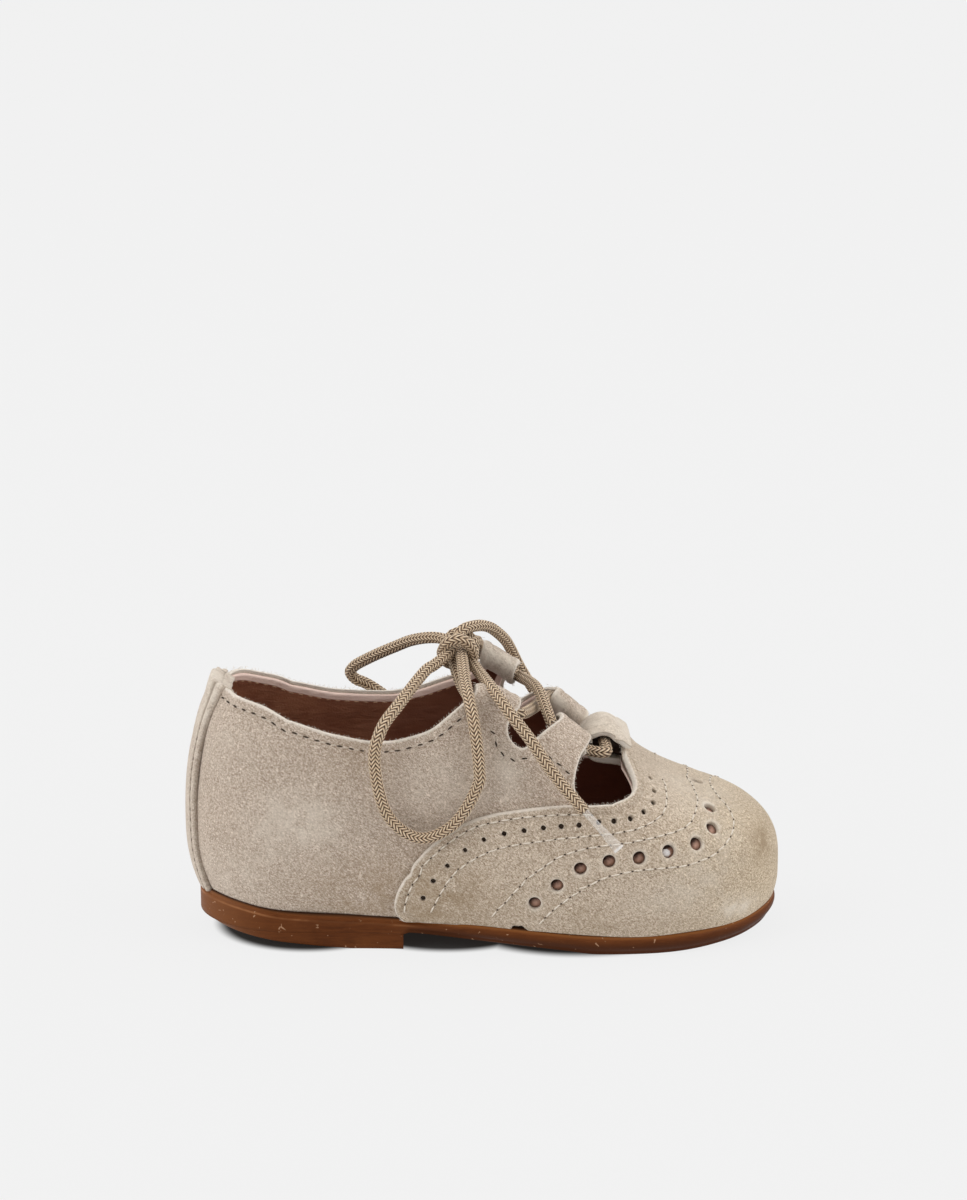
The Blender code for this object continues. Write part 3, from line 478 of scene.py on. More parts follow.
for name, node, agletName, agletNode, rows, goal in (
        ("laceEndNear", "lace_end_near", "agletNear", "aglet_near", "endNear", "agletNearTo"),
        ("laceEndFar", "lace_end_far", "agletFar", "aglet_far", "endFar", "agletFarTo")):
    tip = np.array(form[rows][-1])
    way = unit(np.array(form[goal]) - tip)
    path = through(list(form[rows]) + [tip + way * 1.2], form["step"])
    obj = laceRun(name, path, node)
    aglet = makeAglet(agletName, tip + way * 0.2, way, agletNode, np.array((1.0, 0.2, 0.9)))

# knot: a band tied round the strands, a second one behind it and a core
knotForm = {
    "front": ((-8.3, 3.0, 61.4), (-9.1, -0.5, 64.2), (-8.3, -2.8, 66.7), (-6.8, -3.9, 68.0), (-5.0, -4.1, 68.2),
              (-3.4, -3.6, 67.2), (-2.4, -2.6, 65.2), (-2.2, -1.0, 62.9), (-2.8, 2.0, 60.6), (-4.6, 4.5, 59.8),
              (-6.6, 4.8, 60.2)),
    "rear": ((-8.4, 5.2, 63.8), (-7.0, 6.4, 66.4), (-4.6, 6.8, 67.0), (-2.4, 6.2, 65.6), (-2.0, 5.2, 63.2),
             (-3.4, 4.8, 61.4), (-6.0, 4.9, 61.2)),
    "core": ((-7.0, 0.6, 63.4), (-5.6, 1.4, 65.6), (-3.6, 0.6, 64.4), (-3.8, 1.4, 62.2), (-5.8, 0.8, 61.6)),
}
points, faces, corners = [], [], []
for rows in knotForm.values():
    path = through(rows[-2:] + rows + rows[:2], form["step"])
    p, f, uv = braidedTube(path)
    faces += [[v + sum(len(q) for q in points) for v in face] for face in f]
    points.append(p)
    corners.append(uv)
laceKnot = makePiece("laceKnot", np.vstack(points), faces, [braidMaterial], uv=np.concatenate(corners))
place(laceKnot, "lace_cord", "lace_knot")
print("lace done")


# the upper: fine sheets on the last, cut along edge lines given as along, up
def clipGrid(along, up, field, levels):  # keeps field > levels[0], with extra cuts at the other levels
    rows, cols = field.shape
    a, u, f = along.ravel().tolist(), up.ravel().tolist(), field.ravel().tolist()
    corner = np.arange(rows * cols).reshape(rows, cols)
    quads = np.stack([corner[:-1, :-1], corner[1:, :-1], corner[1:, 1:], corner[:-1, 1:]], -1).reshape(-1, 4)
    values = field.ravel()[quads]
    whole = values.min(1) >= levels[-1]
    mixed = ~whole & (values.max(1) > levels[0])
    faces = quads[whole].tolist()
    cuts = {}

    def cross(p, q, level):
        key = (min(p, q), max(p, q), level)
        if key not in cuts:
            p, q = key[:2]
            t = (level - f[p]) / (f[q] - f[p])
            a.append(a[p] + (a[q] - a[p]) * t)
            u.append(u[p] + (u[q] - u[p]) * t)
            f.append(level)
            cuts[key] = len(f) - 1
        return cuts[key]

    for quad in quads[mixed].tolist():
        polys = [quad]
        for level in levels:
            split = []
            for poly in polys:
                above, below = [], []
                for p, q in zip(poly, poly[1:] + poly[:1]):
                    if f[p] >= level:
                        above.append(p)
                    if f[p] <= level:
                        below.append(p)
                    if (f[p] - level) * (f[q] - level) < 0:
                        c = cross(p, q, level)
                        above.append(c)
                        below.append(c)
                if len(above) > 2 and max(f[p] for p in above) > level:
                    split.append(above)
                if level > levels[0] and len(below) > 2 and min(f[p] for p in below) < level:
                    split.append(below)
            polys = split
        faces += polys
    used = sorted({v for face in faces for v in face})
    index = dict(zip(used, range(len(used))))
    faces = [[index[v] for v in face] for face in faces]
    return np.array(a)[used], np.array(u)[used], faces


class EdgeLine:  # a cut line on the last; its right hand side is kept
    def __init__(self, rows, side, surface, spacing=0.12, soften=0.7):
        line = through(rows, 0.02)
        p = surface(line[:, 0], line[:, 1], side)
        run = runOf(p)
        at = np.linspace(0, run[-1], max(3, int(run[-1] / spacing)))
        self.line = pick(at, run, line)
        reach = int(3 * soften / spacing)
        bell = np.exp(-0.5 * (np.arange(-reach, reach + 1) * spacing / soften) ** 2)
        for k in (0, 1):
            column = self.line[:, k]
            before, after = 2 * column[0] - column[reach:0:-1], 2 * column[-1] - column[-2:-reach - 2:-1]
            padded = np.concatenate([before, column, after])
            self.line[:, k] = np.convolve(padded, bell / bell.sum(), "valid")
        a, u = self.line.T
        self.points = surface(a, u, side)
        self.lean = outward(surface, a, u, side, 1.2)
        ahead = unit(np.gradient(self.points, axis=0))
        inward = np.cross(self.lean, ahead)
        stepA = surface(a + 0.05, u, side) - surface(a - 0.05, u, side)
        stepU = surface(a, u + 0.001, side) - surface(a, u - 0.001, side)
        da, du = np.gradient(a)[:, None] / 0.1, np.gradient(u)[:, None] / 0.002
        longA, longU = (np.linalg.norm(step, axis=1, keepdims=True) for step in (stepA, stepU))
        keep = unit(stepA) * (longU * du) - unit(stepU) * (longA * da)
        self.ahead = ahead
        self.inward = inward * np.sign((inward * keep).sum(1, keepdims=True))
        self.tree = kdtree.KDTree(len(self.points))
        for i, point in enumerate(self.points):
            self.tree.insert(point, i)
        self.tree.balance()

    def distance(self, points):  # signed, positive on the kept side
        found = [self.tree.find(p)[1:] for p in points.reshape(-1, 3)]
        index = np.array([i for i, d in found])
        reach = np.array([d for i, d in found])
        offset = ((points.reshape(-1, 3) - self.points[index]) * self.inward[index]).sum(1)
        return (np.sign(offset + 1e-12) * np.where(reach < 1.5, np.abs(offset), reach)).reshape(points.shape[:-1])


def sheet(parts, outer, inner, rimRows=3, innerEdge=False):
    # parts: (along, up, faces, side, surface, values by name); outer and inner give the offsets from those values
    points, leans, faces, seam = [], [], [], []
    names = list(parts[0][5])
    total = 0
    for along, up, poly, side, surface, values in parts:
        points.append(surface(along, up, side))
        leans.append(outward(surface, along, up, side, 1.3))
        seam.append((np.abs(along - backMid) < 1e-6) | (np.abs(along - toeMid) < 1e-6))
        faces += [[v + total for v in (face if side == near else face[::-1])] for face in poly]
        total += len(along)
    points, leans, seam = np.vstack(points), np.vstack(leans), np.concatenate(seam)
    values = {name: np.concatenate([part[5][name] for part in parts]) for name in names}
    values["edge"] = np.maximum(values["edge"], 0)
    weld = np.arange(total)
    keys = {}
    for v in np.nonzero(seam)[0]:
        weld[v] = keys.setdefault(tuple(np.round(points[v], 2)), v)
    faces = [[int(weld[v]) for v in face] for face in faces]
    faces = [face for face in faces if len(set(face)) == len(face)]
    pairs = {(p, q) for face in faces for p, q in zip(face, face[1:] + face[:1])}
    border = [(p, q) for (p, q) in pairs if (q, p) not in pairs]
    border.sort()
    outPoints = points + leans * outer(values, points)[:, None]
    inPoints = points + leans * inner(values, points)[:, None]
    rim = np.array(sorted({v for pair in border for v in pair}))
    verts = [outPoints, inPoints]
    spread = {name: [column, column] for name, column in values.items()}
    if not innerEdge:
        spread["edge"][1] = np.full(total, 9.0)
    solid = faces + [[v + total for v in reversed(face)] for face in faces]
    order = {v: k for k, v in enumerate(rim.tolist())}
    rings = [{v: v for v in order}]
    base = 2 * total
    for row in range(1, rimRows):
        share = row / rimRows
        verts.append(outPoints[rim] * (1 - share) + inPoints[rim] * share)
        for name, column in values.items():
            spread[name] = spread[name] + [column[rim]]
        rings.append({v: base + k for v, k in order.items()})
        base += len(rim)
    rings.append({v: v + total for v in order})
    for low, high in zip(rings, rings[1:]):
        solid += [[low[q], low[p], high[p], high[q]] for p, q in border]
    verts = np.vstack(verts)
    used = np.unique(np.array([v for face in solid for v in face]))
    index = np.full(len(verts), -1)
    index[used] = np.arange(len(used))
    solid = [[int(index[v]) for v in face] for face in solid]
    return verts[used], solid, {name: np.concatenate(columns)[used] for name, columns in spread.items()}


def rounded(d, height, radius):  # how far an edge rounds down at distance d from the cut
    s = np.clip(1 - d / radius, 0, 1)
    return -height * (1 - np.sqrt(np.maximum(1 - s * s, 0)))


def gridOf(alongs, ups):
    return np.meshgrid(alongs, ups, indexing="ij")


def spans(*marks):
    values = [marks[0]]
    for end, steps in marks[1:]:
        values.extend(np.linspace(values[-1], end, steps + 1)[1:])
    return np.array(values)


rollArc = np.linspace(0, 2 * math.pi, 400)
rollRun = runOf(np.stack([tabForm["thick"] * np.cos(rollArc), tabForm["tall"] * np.sin(rollArc)], 1))


def tabTop(along, side):
    rows = ((-10, 1.3), (-8, 0.435)) + tabForm["topTab"][side] + tabForm["midTab"][side] + ((30, 0.735),)
    return np.interp(along, [row[0] for row in rows], [row[1] for row in rows])


def tabPoint(along, up, side, rolled=True):  # the last, and past a tab's top the sheet that folds in over the lace
    along, up = np.broadcast_arrays(np.asarray(along, float), np.asarray(up, float))
    top = tabTop(along, side)
    over = np.maximum(up - top, 0) * tabForm["upScale"]
    base = lastPoint(along, np.minimum(up, top), side)
    rise = unit(lastPoint(along, top + 0.004, side) - lastPoint(along, top - 0.004, side))
    if not rolled:
        return base + rise * over[..., None]
    lean = outward(lastPoint, along, top, side)
    angle = np.interp(over, rollRun, rollArc)
    shrink = 1 - tabForm["tuckIn"] * angle / (2 * math.pi)
    moveOut = tabForm["thick"] * (shrink * np.cos(angle) - 1)
    moveUp = tabForm["tall"] * shrink * np.sin(angle)
    return base + lean * moveOut[..., None] + rise * moveUp[..., None]


def tabFlat(along, up, side):
    return tabPoint(along, up, side, False)


def foldLine(side, start, end):  # round a tab's fold: up its back edge, along its end and down its front edge
    marks = ((start, 2), (start + 0.2, 6), (start + 0.3, 12), (start + 0.5, 16.4), (start + 1.1, 17),
             ((start + end) / 2, 17.2), (end - 0.7, 17), (end - 0.2, 16.4), (end, 12), (end + 0.1, 6), (end - 0.1, 2))
    return tuple((along, float(tabTop(along, side)) + past / tabForm["upScale"]) for along, past in marks)


# edge lines as along, up
upperForm = {
    "wall": 0.95, "round": 0.5, "underlap": 5.0, "strapX": 31.2,
    "collar": {
        near: ((-134, 0.590), (-120, 0.567), (-105, 0.533), (-94.8, 0.498), (-87, 0.470), (-77.2, 0.442),
               (-69.5, 0.424), (-62.5, 0.410), (-55.8, 0.395), (-49.2, 0.380), (-44, 0.369), (-38.5, 0.346),
               (-35, 0.331), (-31.5, 0.320), (-27.8, 0.311), (-24, 0.308), (-19.5, 0.316), (-14.2, 0.340),
               (-11.5, 0.360), (-8.8, 0.393), (-6.0, 0.433), (-4.4, 0.460)),
        far: ((-134, 0.590), (-120, 0.562), (-105, 0.522), (-95, 0.490), (-87.5, 0.465), (-79, 0.436), (-71.8, 0.414),
              (-65, 0.397), (-59, 0.386), (-53, 0.376), (-47.2, 0.366), (-44, 0.361), (-41.2, 0.354), (-37.5, 0.342),
              (-33.8, 0.332), (-28.2, 0.325), (-24.8, 0.324), (-21.2, 0.326), (-18.2, 0.334), (-15.2, 0.345),
              (-12.5, 0.360), (-9.8, 0.379), (-6.8, 0.402), (-4.2, 0.425))},
    "toTopTab": {near: ((-3.4, 0.474),), far: ((-1.6, 0.460), (0.0, 0.505), (0.7, 0.555))},
    "topFold": {near: (-1.9, 8.7), far: (1.0, 9.5)},
    "notch": {near: ((7.9, 0.560), (6.7, 0.525), (5.6, 0.485), (5.15, 0.455), (5.4, 0.432), (6.4, 0.421),
                     (7.7, 0.418), (9.0, 0.430), (11.5, 0.490), (15.0, 0.590), (17.2, 0.670)),
              far: ((8.8, 0.618), (7.5, 0.560), (6.2, 0.505), (5.5, 0.465), (5.5, 0.436), (6.4, 0.421), (7.7, 0.418),
                    (9.0, 0.430), (11.5, 0.490), (15.0, 0.590), (17.3, 0.670))},
    "midFold": {near: (17.8, 24.7), far: (18.0, 25.6)},
    "cutOut": ((24.1, 0.690), (23.0, 0.620), (21.5, 0.540), (20.3, 0.450), (20.0, 0.400), (20.6, 0.366),
               (22.2, 0.345), (25, 0.33), (29, 0.33)),
    # cut edge of the vamp, from the sole up its back and round the cut-out
    "vampLine": ((-16.6, -1.10), (-18.4, -1.02), (-19.9, -0.90), (-20.4, -0.77), (-20.5, -0.66), (-20.3, -0.540),
                 (-19.7, -0.388), (-18.9, -0.240), (-18.0, -0.093), (-16.6, 0.012), (-15.0, 0.037), (-13.4, 0.060),
                 (-11.6, 0.080), (-9.8, 0.098), (-7.8, 0.115), (-6.0, 0.131), (-4.3, 0.146), (-2.2, 0.162),
                 (0.0, 0.177), (2.7, 0.196), (5.6, 0.216), (8.9, 0.240), (12.2, 0.265), (15.5, 0.291), (18.4, 0.315),
                 (21.0, 0.336), (23.6, 0.360), (25.9, 0.385), (28.0, 0.413), (32.4, 0.447), (36.9, 0.484),
                 (40.9, 0.525), (43.8, 0.567), (45.5, 0.607), (45.8, 0.650), (45.0, 0.700), (43.5, 0.750),
                 (41, 0.800), (36, 0.845), (31, 0.862)),
}


def topLine(side):
    form = upperForm
    return (form["collar"][side] + form["toTopTab"][side] + foldLine(side, *form["topFold"][side])
            + form["notch"][side] + foldLine(side, *form["midFold"][side]) + form["cutOut"])


def pastStrap(points, up):  # distance before the strap's fold, where the vamp is high
    return np.where(up > 0.62, points[..., 0] - upperForm["strapX"], 30.0)


def vampField(points, up, side):  # distance inside the vamp's cut edge
    return np.minimum(edgeLines["vamp", side].distance(points), pastStrap(points, up))


quarterParts, edgeLines = [], {}
quarterAlong = spans(backMid, (lastForm["heelPivot"], 84), (30.0, 158))
quarterUp = spans(-1.0, (0.0, 22), (1.08, 134))
for side in (near, far):
    edgeLines["top", side] = EdgeLine(topLine(side), side, tabFlat)
    edgeLines["vamp", side] = EdgeLine(upperForm["vampLine"], side, lastPoint, soften=1.0)
    along, up = gridOf(quarterAlong, quarterUp)
    laid = tabFlat(along, up, side)
    under = upperForm["underlap"] - vampField(laid, up, side)
    field = np.minimum(edgeLines["top", side].distance(laid), under)
    a, u, poly = clipGrid(along, up, field, (0.0, 0.1, 0.28, upperForm["round"]))
    edge = edgeLines["top", side].distance(tabFlat(a, u, side))
    over = np.maximum(u - tabTop(a, side), 0) * tabForm["upScale"]
    quarterParts.append((a, u, poly, side, tabPoint, {"edge": edge, "over": over}))
print("quarter cut")


# shared nap of the suede: colour and height that change over the surface
def napGroup():
    tree = bpy.data.node_groups.new("suedeNap", "ShaderNodeTree")
    for name, tone in (("Tone", srgb(188, 172, 156)), ("Shade", srgb(158, 140, 122)), ("Pale", srgb(216, 204, 190))):
        tree.interface.new_socket(name, in_out="INPUT", socket_type="NodeSocketColor").default_value = tone
    for name, kind in (("Colour", "NodeSocketColor"), ("Height", "NodeSocketFloat")):
        tree.interface.new_socket(name, in_out="OUTPUT", socket_type=kind)
    net = Net(tree)
    given, result = net.add("NodeGroupInput").outputs, net.add("NodeGroupOutput").inputs
    spot = net.spot()
    cloud = net.noise(spot, 42, 3, 0.55, 0.4)
    patch = net.noise(spot, 170, 3, 0.6, 0.6)
    drawn = net.drawn(spot, vector_type="TEXTURE", Scale=(2.2, 1.2, 1.0), Rotation=(0.0, 0.7, 0.0))
    nap = net.noise(spot, 2400, 3, 0.65, 1.2)
    fibre = net.noise(drawn, 4200, 3, 0.65, 0.8)
    fine = net.plus(net.times(nap, 0.40), net.times(fibre, 0.60))
    wide = net.plus(net.times(cloud, 0.55), net.times(patch, 0.45))
    base = net.mix(net.fade(wide, 0.36, 0.60, 0.72, 1.0), given["Shade"], given["Tone"])
    lit = net.mix(net.fade(fine, 0.49, 0.62), base, given["Pale"])
    net.link(net.mix(net.fade(fine, 0.51, 0.38), lit, given["Shade"]), result["Colour"])
    net.link(net.plus(fine, net.times(patch, 0.3)), result["Height"])
    return tree


suedeNap = napGroup()
rawEdge = srgb(234, 225, 213)


def suedeMaterial(name, tone, shade, pale, edgeWide, toeTint=0.0):
    mat, net, shader = newMaterial(name)
    nap = net.add("ShaderNodeGroup")
    nap.node_tree = suedeNap
    setInputs(nap, Tone=tone, Shade=shade, Pale=pale)
    colour = nap.outputs["Colour"]
    spot = net.spot()
    if toeTint:
        xyz = net.split(spot)
        toward = net.fade(xyz["X"], 0.030, 0.066, 0.0, toeTint)
        colour = net.mix(toward, colour, srgb(255, 250, 225), "MULTIPLY")
    blur = net.noise(spot, 260, 4, 0.65, 0.5)
    # darker places: dirt, and painted shade low by the sole
    smudge = net.times(net.attribute("smudge"), net.fade(blur, 0.3, 0.62))
    colour = net.mix(smudge, colour, srgb(140, 116, 84))
    # paler places: wear, and painted light on the far side's rolled tabs and rim and on the heel strip's cap
    rub = net.times(net.attribute("rub"), net.fade(blur, 0.35, 0.65, 0.3, 1.0))
    colour = net.mix(rub, colour, srgb(223, 212, 197))
    ragged = net.noise(spot, 1500, 2, 0.6)
    edge = net.plus(net.attribute("edge"), net.times(net.minus(ragged, 0.5), 0.6))
    colour = net.mix(net.fade(edge, 0.1, edgeWide, 0.8, 0.0), colour, rawEdge)
    # seam: painted shade in grooves and along the heel strip's edge
    colour = net.mix(net.times(net.attribute("seam"), 0.75), colour, srgb(96, 78, 60))
    net.link(colour, shader.inputs["Base Color"])
    net.bump(shader, nap.outputs["Height"], 0.75, 0.00045)
    setInputs(shader, Roughness=0.95, Specular_IOR_Level=0.1, Sheen_Weight=0.3, Sheen_Roughness=0.5,
              Sheen_Tint=(1.0, 0.96, 0.90, 1.0))
    return mat


def liningMaterial(name, tone, deep, rim=None):
    mat, net, shader = newMaterial(name)
    spot = net.spot()
    cloud = net.noise(spot, 70, 3, 0.55, 0.3)
    grain = net.add("ShaderNodeTexVoronoi", Scale=1500.0, feature="DISTANCE_TO_EDGE")
    net.link(spot, grain.inputs["Vector"])
    stretch = net.drawn(spot, Scale=(0.6, 1.0, 2.4), Rotation=(0.0, 0.35, 0.0))
    crease = net.noise(stretch, 240, 3, 0.6, 1.0)
    colour = net.mix(net.fade(cloud, 0.35, 0.65), deep, tone)
    colour = net.mix(net.fade(crease, 0.3, 0.7, 0.35, 0.0), colour, deep)
    if rim is not None:
        xyz = net.split(spot)
        # darker toward the toe, deeper inside the shoe: painted shade
        colour = net.mix(net.fade(xyz["X"], -0.050, 0.006, 0.0, 0.8), colour, srgb(84, 40, 26))
        colour = net.mix(net.fade(net.attribute("edge"), 1.45, 1.7, 1.0, 0.0), colour, rim)
    net.link(colour, shader.inputs["Base Color"])
    net.link(net.fade(crease, 0.3, 0.7, 0.40, 0.58), shader.inputs["Roughness"])
    height = net.plus(net.times(grain.outputs["Distance"], 0.25), crease)
    net.bump(shader, height, 0.45, 0.0005)
    return mat


quarterSuede = suedeMaterial("quarterSuede", srgb(189, 171, 154), srgb(142, 122, 103), srgb(230, 216, 201), 0.8)
vampSuede = suedeMaterial("vampSuede", srgb(191, 173, 153), srgb(141, 121, 99), srgb(230, 216, 198), 0.7, 0.45)
liningLeather = liningMaterial("liningLeather", srgb(158, 106, 78), srgb(118, 70, 48), srgb(234, 207, 194))
backingLeather = liningMaterial("backingLeather", srgb(176, 128, 112), srgb(142, 98, 84))
# dark leather for the strap's tunnel: painted shade
tunnelShadeLeather = liningMaterial("tunnelShadeLeather", srgb(66, 46, 36), srgb(44, 30, 23))


def blob(points, middle, size):  # soft spot of given size round a place, millimetres
    return np.exp(-(((points - np.array(middle)) / np.array(size)) ** 2).sum(1))


def ridge(d, middle, wide):
    return np.exp(-((d - middle) / wide) ** 2)


# quarters: both sides of the heel, with a rounded rim, a row of stitches set in below it and soft dents
quarterForm = {
    "rim": 0.45, "swell": 0.14, "groove": 0.12, "grooveAt": 2.3,
    # depth, middle, size
    "dents": ((-0.5, (0, -24, 44), (5, 9, 7)), (-0.4, (-38, -20, 42), (9, 9, 8)), (0.35, (-24, -22, 32), (12, 9, 7)),
              (-0.3, (-12, -23, 22), (9, 8, 6)), (-0.4, (-34, 20, 40), (9, 9, 9)), (0.3, (-50, -16, 28), (8, 9, 10))),
    # strength, middle, size of paler worn places
    "rubs": ((0.35, (-11, -22, 38), (10, 9, 8)), (0.65, (-42, -20, 30), (12, 9, 8)),
             (0.35, (-54, -14, 18), (9, 10, 6)), (0.4, (-40, 20, 30), (13, 9, 9)), (0.5, (4, -20, 42), (7, 9, 6)),
             (0.25, (-56, -15, 46), (8, 9, 7))),
    # strength, middle, size of darker places: dirt, and painted shade low by the sole
    "smudges": ((0.50, (-24, -22, 13), (16, 9, 9)), (0.25, (-28, -21, 46), (9, 9, 5)),
                (0.15, (4, -24, 28), (6, 9, 7)), (0.25, (-20, 21, 14), (18, 9, 9))),
    # how strongly painted light brightens the far side's rolled tabs and rim
    "rollPaintedLight": 1.1,
}


def spots(points, rows):
    return sum(amount * blob(points, middle, size) for amount, middle, size in rows)


def quarterOuter(values, p):
    form, d = quarterForm, values["edge"]
    wave = 0.16 * np.sin(p[:, 0] * 0.23 + 1.1) * np.sin(p[:, 2] * 0.19 + 0.4)
    lip = form["swell"] * ridge(d, 1.2, 0.7) - form["groove"] * ridge(d, form["grooveAt"], 0.4)
    return rounded(d, form["rim"], upperForm["round"]) + lip + wave * ease(d, 1, 5) + spots(p, form["dents"])


def quarterLift(line, side, inset):  # height of the quarter's face along a line of stitches
    points = line.points + line.inward * inset
    return quarterOuter({"edge": np.maximum(edgeLines["top", side].distance(points), 0)}, points)


def flat(offset):
    return lambda values, p: np.full(len(p), offset)


verts, faces, values = sheet(quarterParts, quarterOuter, flat(-upperForm["wall"]), innerEdge=True)
# painted light: the far side's rolled tabs and rim, which lie in shade, are made paler
rolled = np.maximum(ease(values.pop("over"), 2, 6), 1 - ease(values["edge"], 0.6, 1.4))
rub = np.maximum(spots(verts, quarterForm["rubs"]), rolled * quarterForm["rollPaintedLight"] * (verts[:, 1] > 0))
values.update(smudge=spots(verts, quarterForm["smudges"]), rub=rub, seam=np.zeros(len(verts)))
quarters = makePiece("quarters", verts, faces, [quarterSuede], values)
place(quarters, "suede", "upper")

# lining inside the whole upper
liningForm = {"outer": -0.98, "inner": -1.6, "drop": 0.8, "rollRoom": 5.2}
liningAlong = spans(backMid, (lastForm["heelPivot"], 60), (30.0, 120), (toeMid, 64))
liningUp = spans(-1.0, (0.0, 14), (0.98, 84))
liningParts = []
for side in (near, far):
    along, up = gridOf(liningAlong, liningUp)

    def liningField(a, u):
        p = lastPoint(a, u, side)
        underTop = np.minimum(edgeLines["top", side].distance(p), (tabTop(a, side) - u) * tabForm["upScale"] + 0.3)
        inside = np.maximum(underTop, vampField(p, u, side)) - liningForm["drop"]
        roll = np.hypot(p[..., 0] - rollForm["x"], p[..., 2] - rollForm["z"]) - liningForm["rollRoom"]
        return np.minimum(inside, np.where(np.abs(p[..., 1]) < 11, roll, 20))

    a, u, poly = clipGrid(along, up, liningField(along, up), (0.0, 0.3))
    liningParts.append((a, u, poly, side, lastPoint, {"edge": liningField(a, u)}))


def liningInner(values, p):
    return liningForm["inner"] - rounded(values["edge"], 0.3, 0.3)


verts, faces, values = sheet(liningParts, flat(liningForm["outer"]), liningInner, rimRows=2, innerEdge=True)
lining = makePiece("lining", verts, faces, [liningLeather], values)
place(lining, "lining_leather")
print("lining done")

# vamp: overlay with a beaded cut edge, punched rows and a nick by the sole
vampForm = {
    "outer": 1.4, "inner": 0.06, "round": 0.5, "bead": 0.10, "beadAt": 0.75, "groove": 0.16, "grooveAt": 2.0,
    "smallHole": 0.64, "bigHole": 1.44,
    "lift": ((28.0, 0.6), (29.8, 1.2), (31.5, 1.2), (33.2, 0.6), (34.8, 0.1), (36.0, 0.0)),
    # along, up
    "smallHoles": ((-13.9, -0.473), (-11.6, -0.103), (-8.4, 0.030), (-4.4, 0.077), (-0.2, 0.115), (4.3, 0.147),
                   (8.7, 0.175), (13.0, 0.205), (16.9, 0.232), (20.8, 0.262), (25.1, 0.307), (29.0, 0.342),
                   (37.8, 0.392), (46.0, 0.460), (53.8, 0.535), (58.9, 0.612), (64.7, 0.700)),
    "bigHoles": ((11.2, -0.335), (16.1, 0.020), (21.2, 0.100), (27.5, 0.160), (41.2, 0.217), (55.0, 0.292),
                 (68.0, 0.360), (78.2, 0.452), (86.5, 0.560)),
    "peakHole": (toeMid, 0.68), "nick": ((6.9, -0.95, 0.75), (8.2, -0.96, 0.95), (9.2, -0.99, 0.6)),
    # strength, middle, size of darker places: dirt, and painted shade low by the sole
    "smudges": ((0.75, (63.0, -13, 22.5), (3.5, 6, 4)), (0.3, (66, 2, 18), (5, 16, 7)),
                (0.62, (-12, -24, 12), (12, 8, 9)), (0.28, (26, -27, 8), (24, 9, 5)),
                (0.3, (-10, 23, 12), (12, 8, 9)), (0.2, (26, 26, 8), (24, 9, 5))),
    "rubs": ((0.8, (57, -20, 9.5), (6, 6, 2.5)), (0.3, (40, -26, 13), (9, 8, 5)), (0.3, (52, -18, 24), (8, 9, 6)),
             (0.35, (48, -8, 33), (10, 12, 6)), (0.3, (48, -24, 17), (8, 8, 6))),
    "dents": ((0.25, (22, -26, 20), (8, 8, 5)), (-0.25, (38, -24, 12), (9, 8, 5)), (-0.2, (-6, -24, 14), (6, 8, 6)),
              (-0.25, (36, 24, 14), (9, 8, 5))),
}


def vampPoint(along, up, side):
    p = lastPoint(along, up, side)
    rise = np.interp(p[..., 0], [r[0] for r in vampForm["lift"]], [r[1] for r in vampForm["lift"]])
    high = ease(np.asarray(up), 0.5, 0.7)
    lift = rise * high * (1 - ease(np.abs(p[..., 1]), 8, 14))
    return p + lift[..., None] * (0, 0, 1)


def punched(points, side, rows, radius=0.0):  # distance to the rim of the nearest hole
    best = np.full(points.shape[:-1], 50.0)
    for a, u, *size in rows:
        away = np.linalg.norm(points - lastPoint(a, u, side), axis=-1)
        best = np.minimum(best, away - (size[0] if size else radius))
    return best


vampAlong = spans(-22.0, (28.0, 118), (toeMid, 128))
vampUp = spans(-1.0, (0.0, 25), (0.97, 102))
vampParts = []
for side in (near, far):
    along, up = gridOf(vampAlong, vampUp)

    def vampEdges(a, u):
        p = lastPoint(a, u, side)
        line = edgeLines["vamp", side].distance(p)
        small = punched(p, side, vampForm["smallHoles"], vampForm["smallHole"])
        big = punched(p, side, vampForm["bigHoles"] + (vampForm["peakHole"],), vampForm["bigHole"])
        nick = punched(p, side, vampForm["nick"] if side == near else ())
        return p, line, np.minimum(small, nick), big

    p, line, small, big = vampEdges(along, up)
    cut = np.minimum.reduce([line, small, big, pastStrap(p, up)])
    a, u, poly = clipGrid(along, up, cut, (0.0, 0.12, 0.3, vampForm["round"]))
    p, line, small, big = vampEdges(a, u)
    columns = {"edge": line, "small": np.maximum(small, 0), "big": np.maximum(big, 0)}
    vampParts.append((a, u, poly, side, vampPoint, columns))


def vampOuter(values, p):
    form, d = vampForm, values["edge"]
    wave = 0.10 * np.sin(p[:, 0] * 0.21 + 0.6) * np.sin(p[:, 1] * 0.23 + 0.9)
    edge = form["bead"] * ridge(d, form["beadAt"], 0.5) - form["groove"] * ridge(d, form["grooveAt"], 0.4)
    edge = edge + rounded(d, 0.55, form["round"])
    holes = rounded(values["small"], 0.2, 0.3) + rounded(values["big"], 0.35, 0.5)
    return form["outer"] + edge + holes + wave * ease(d, 1, 4) + spots(p, form["dents"])


def vampLift(line, side):  # height of the vamp's face along a line of stitches
    clear = np.full(len(line.points), 9.0)
    base = lastPoint(*line.line.T, side)
    edge = np.maximum(edgeLines["vamp", side].distance(base), 0)
    return vampOuter({"edge": edge, "small": clear, "big": clear}, base)


verts, faces, values = sheet(vampParts, vampOuter, flat(vampForm["inner"]))
worn = 0.75 * ridge(values.pop("big"), 0.0, 0.55) + 0.2 * ridge(values.pop("small"), 0.0, 0.4)
values["rub"] = np.minimum(spots(verts, vampForm["rubs"]) + worn, 1)
# seam: painted shade in the groove inside the vamp's cut edge
values.update(smudge=spots(verts, vampForm["smudges"]), seam=0.25 * ridge(values["edge"], vampForm["grooveAt"], 0.35))
vamp = makePiece("vampOverlay", verts, faces, [vampSuede], values)
place(vamp, "suede", "vamp")

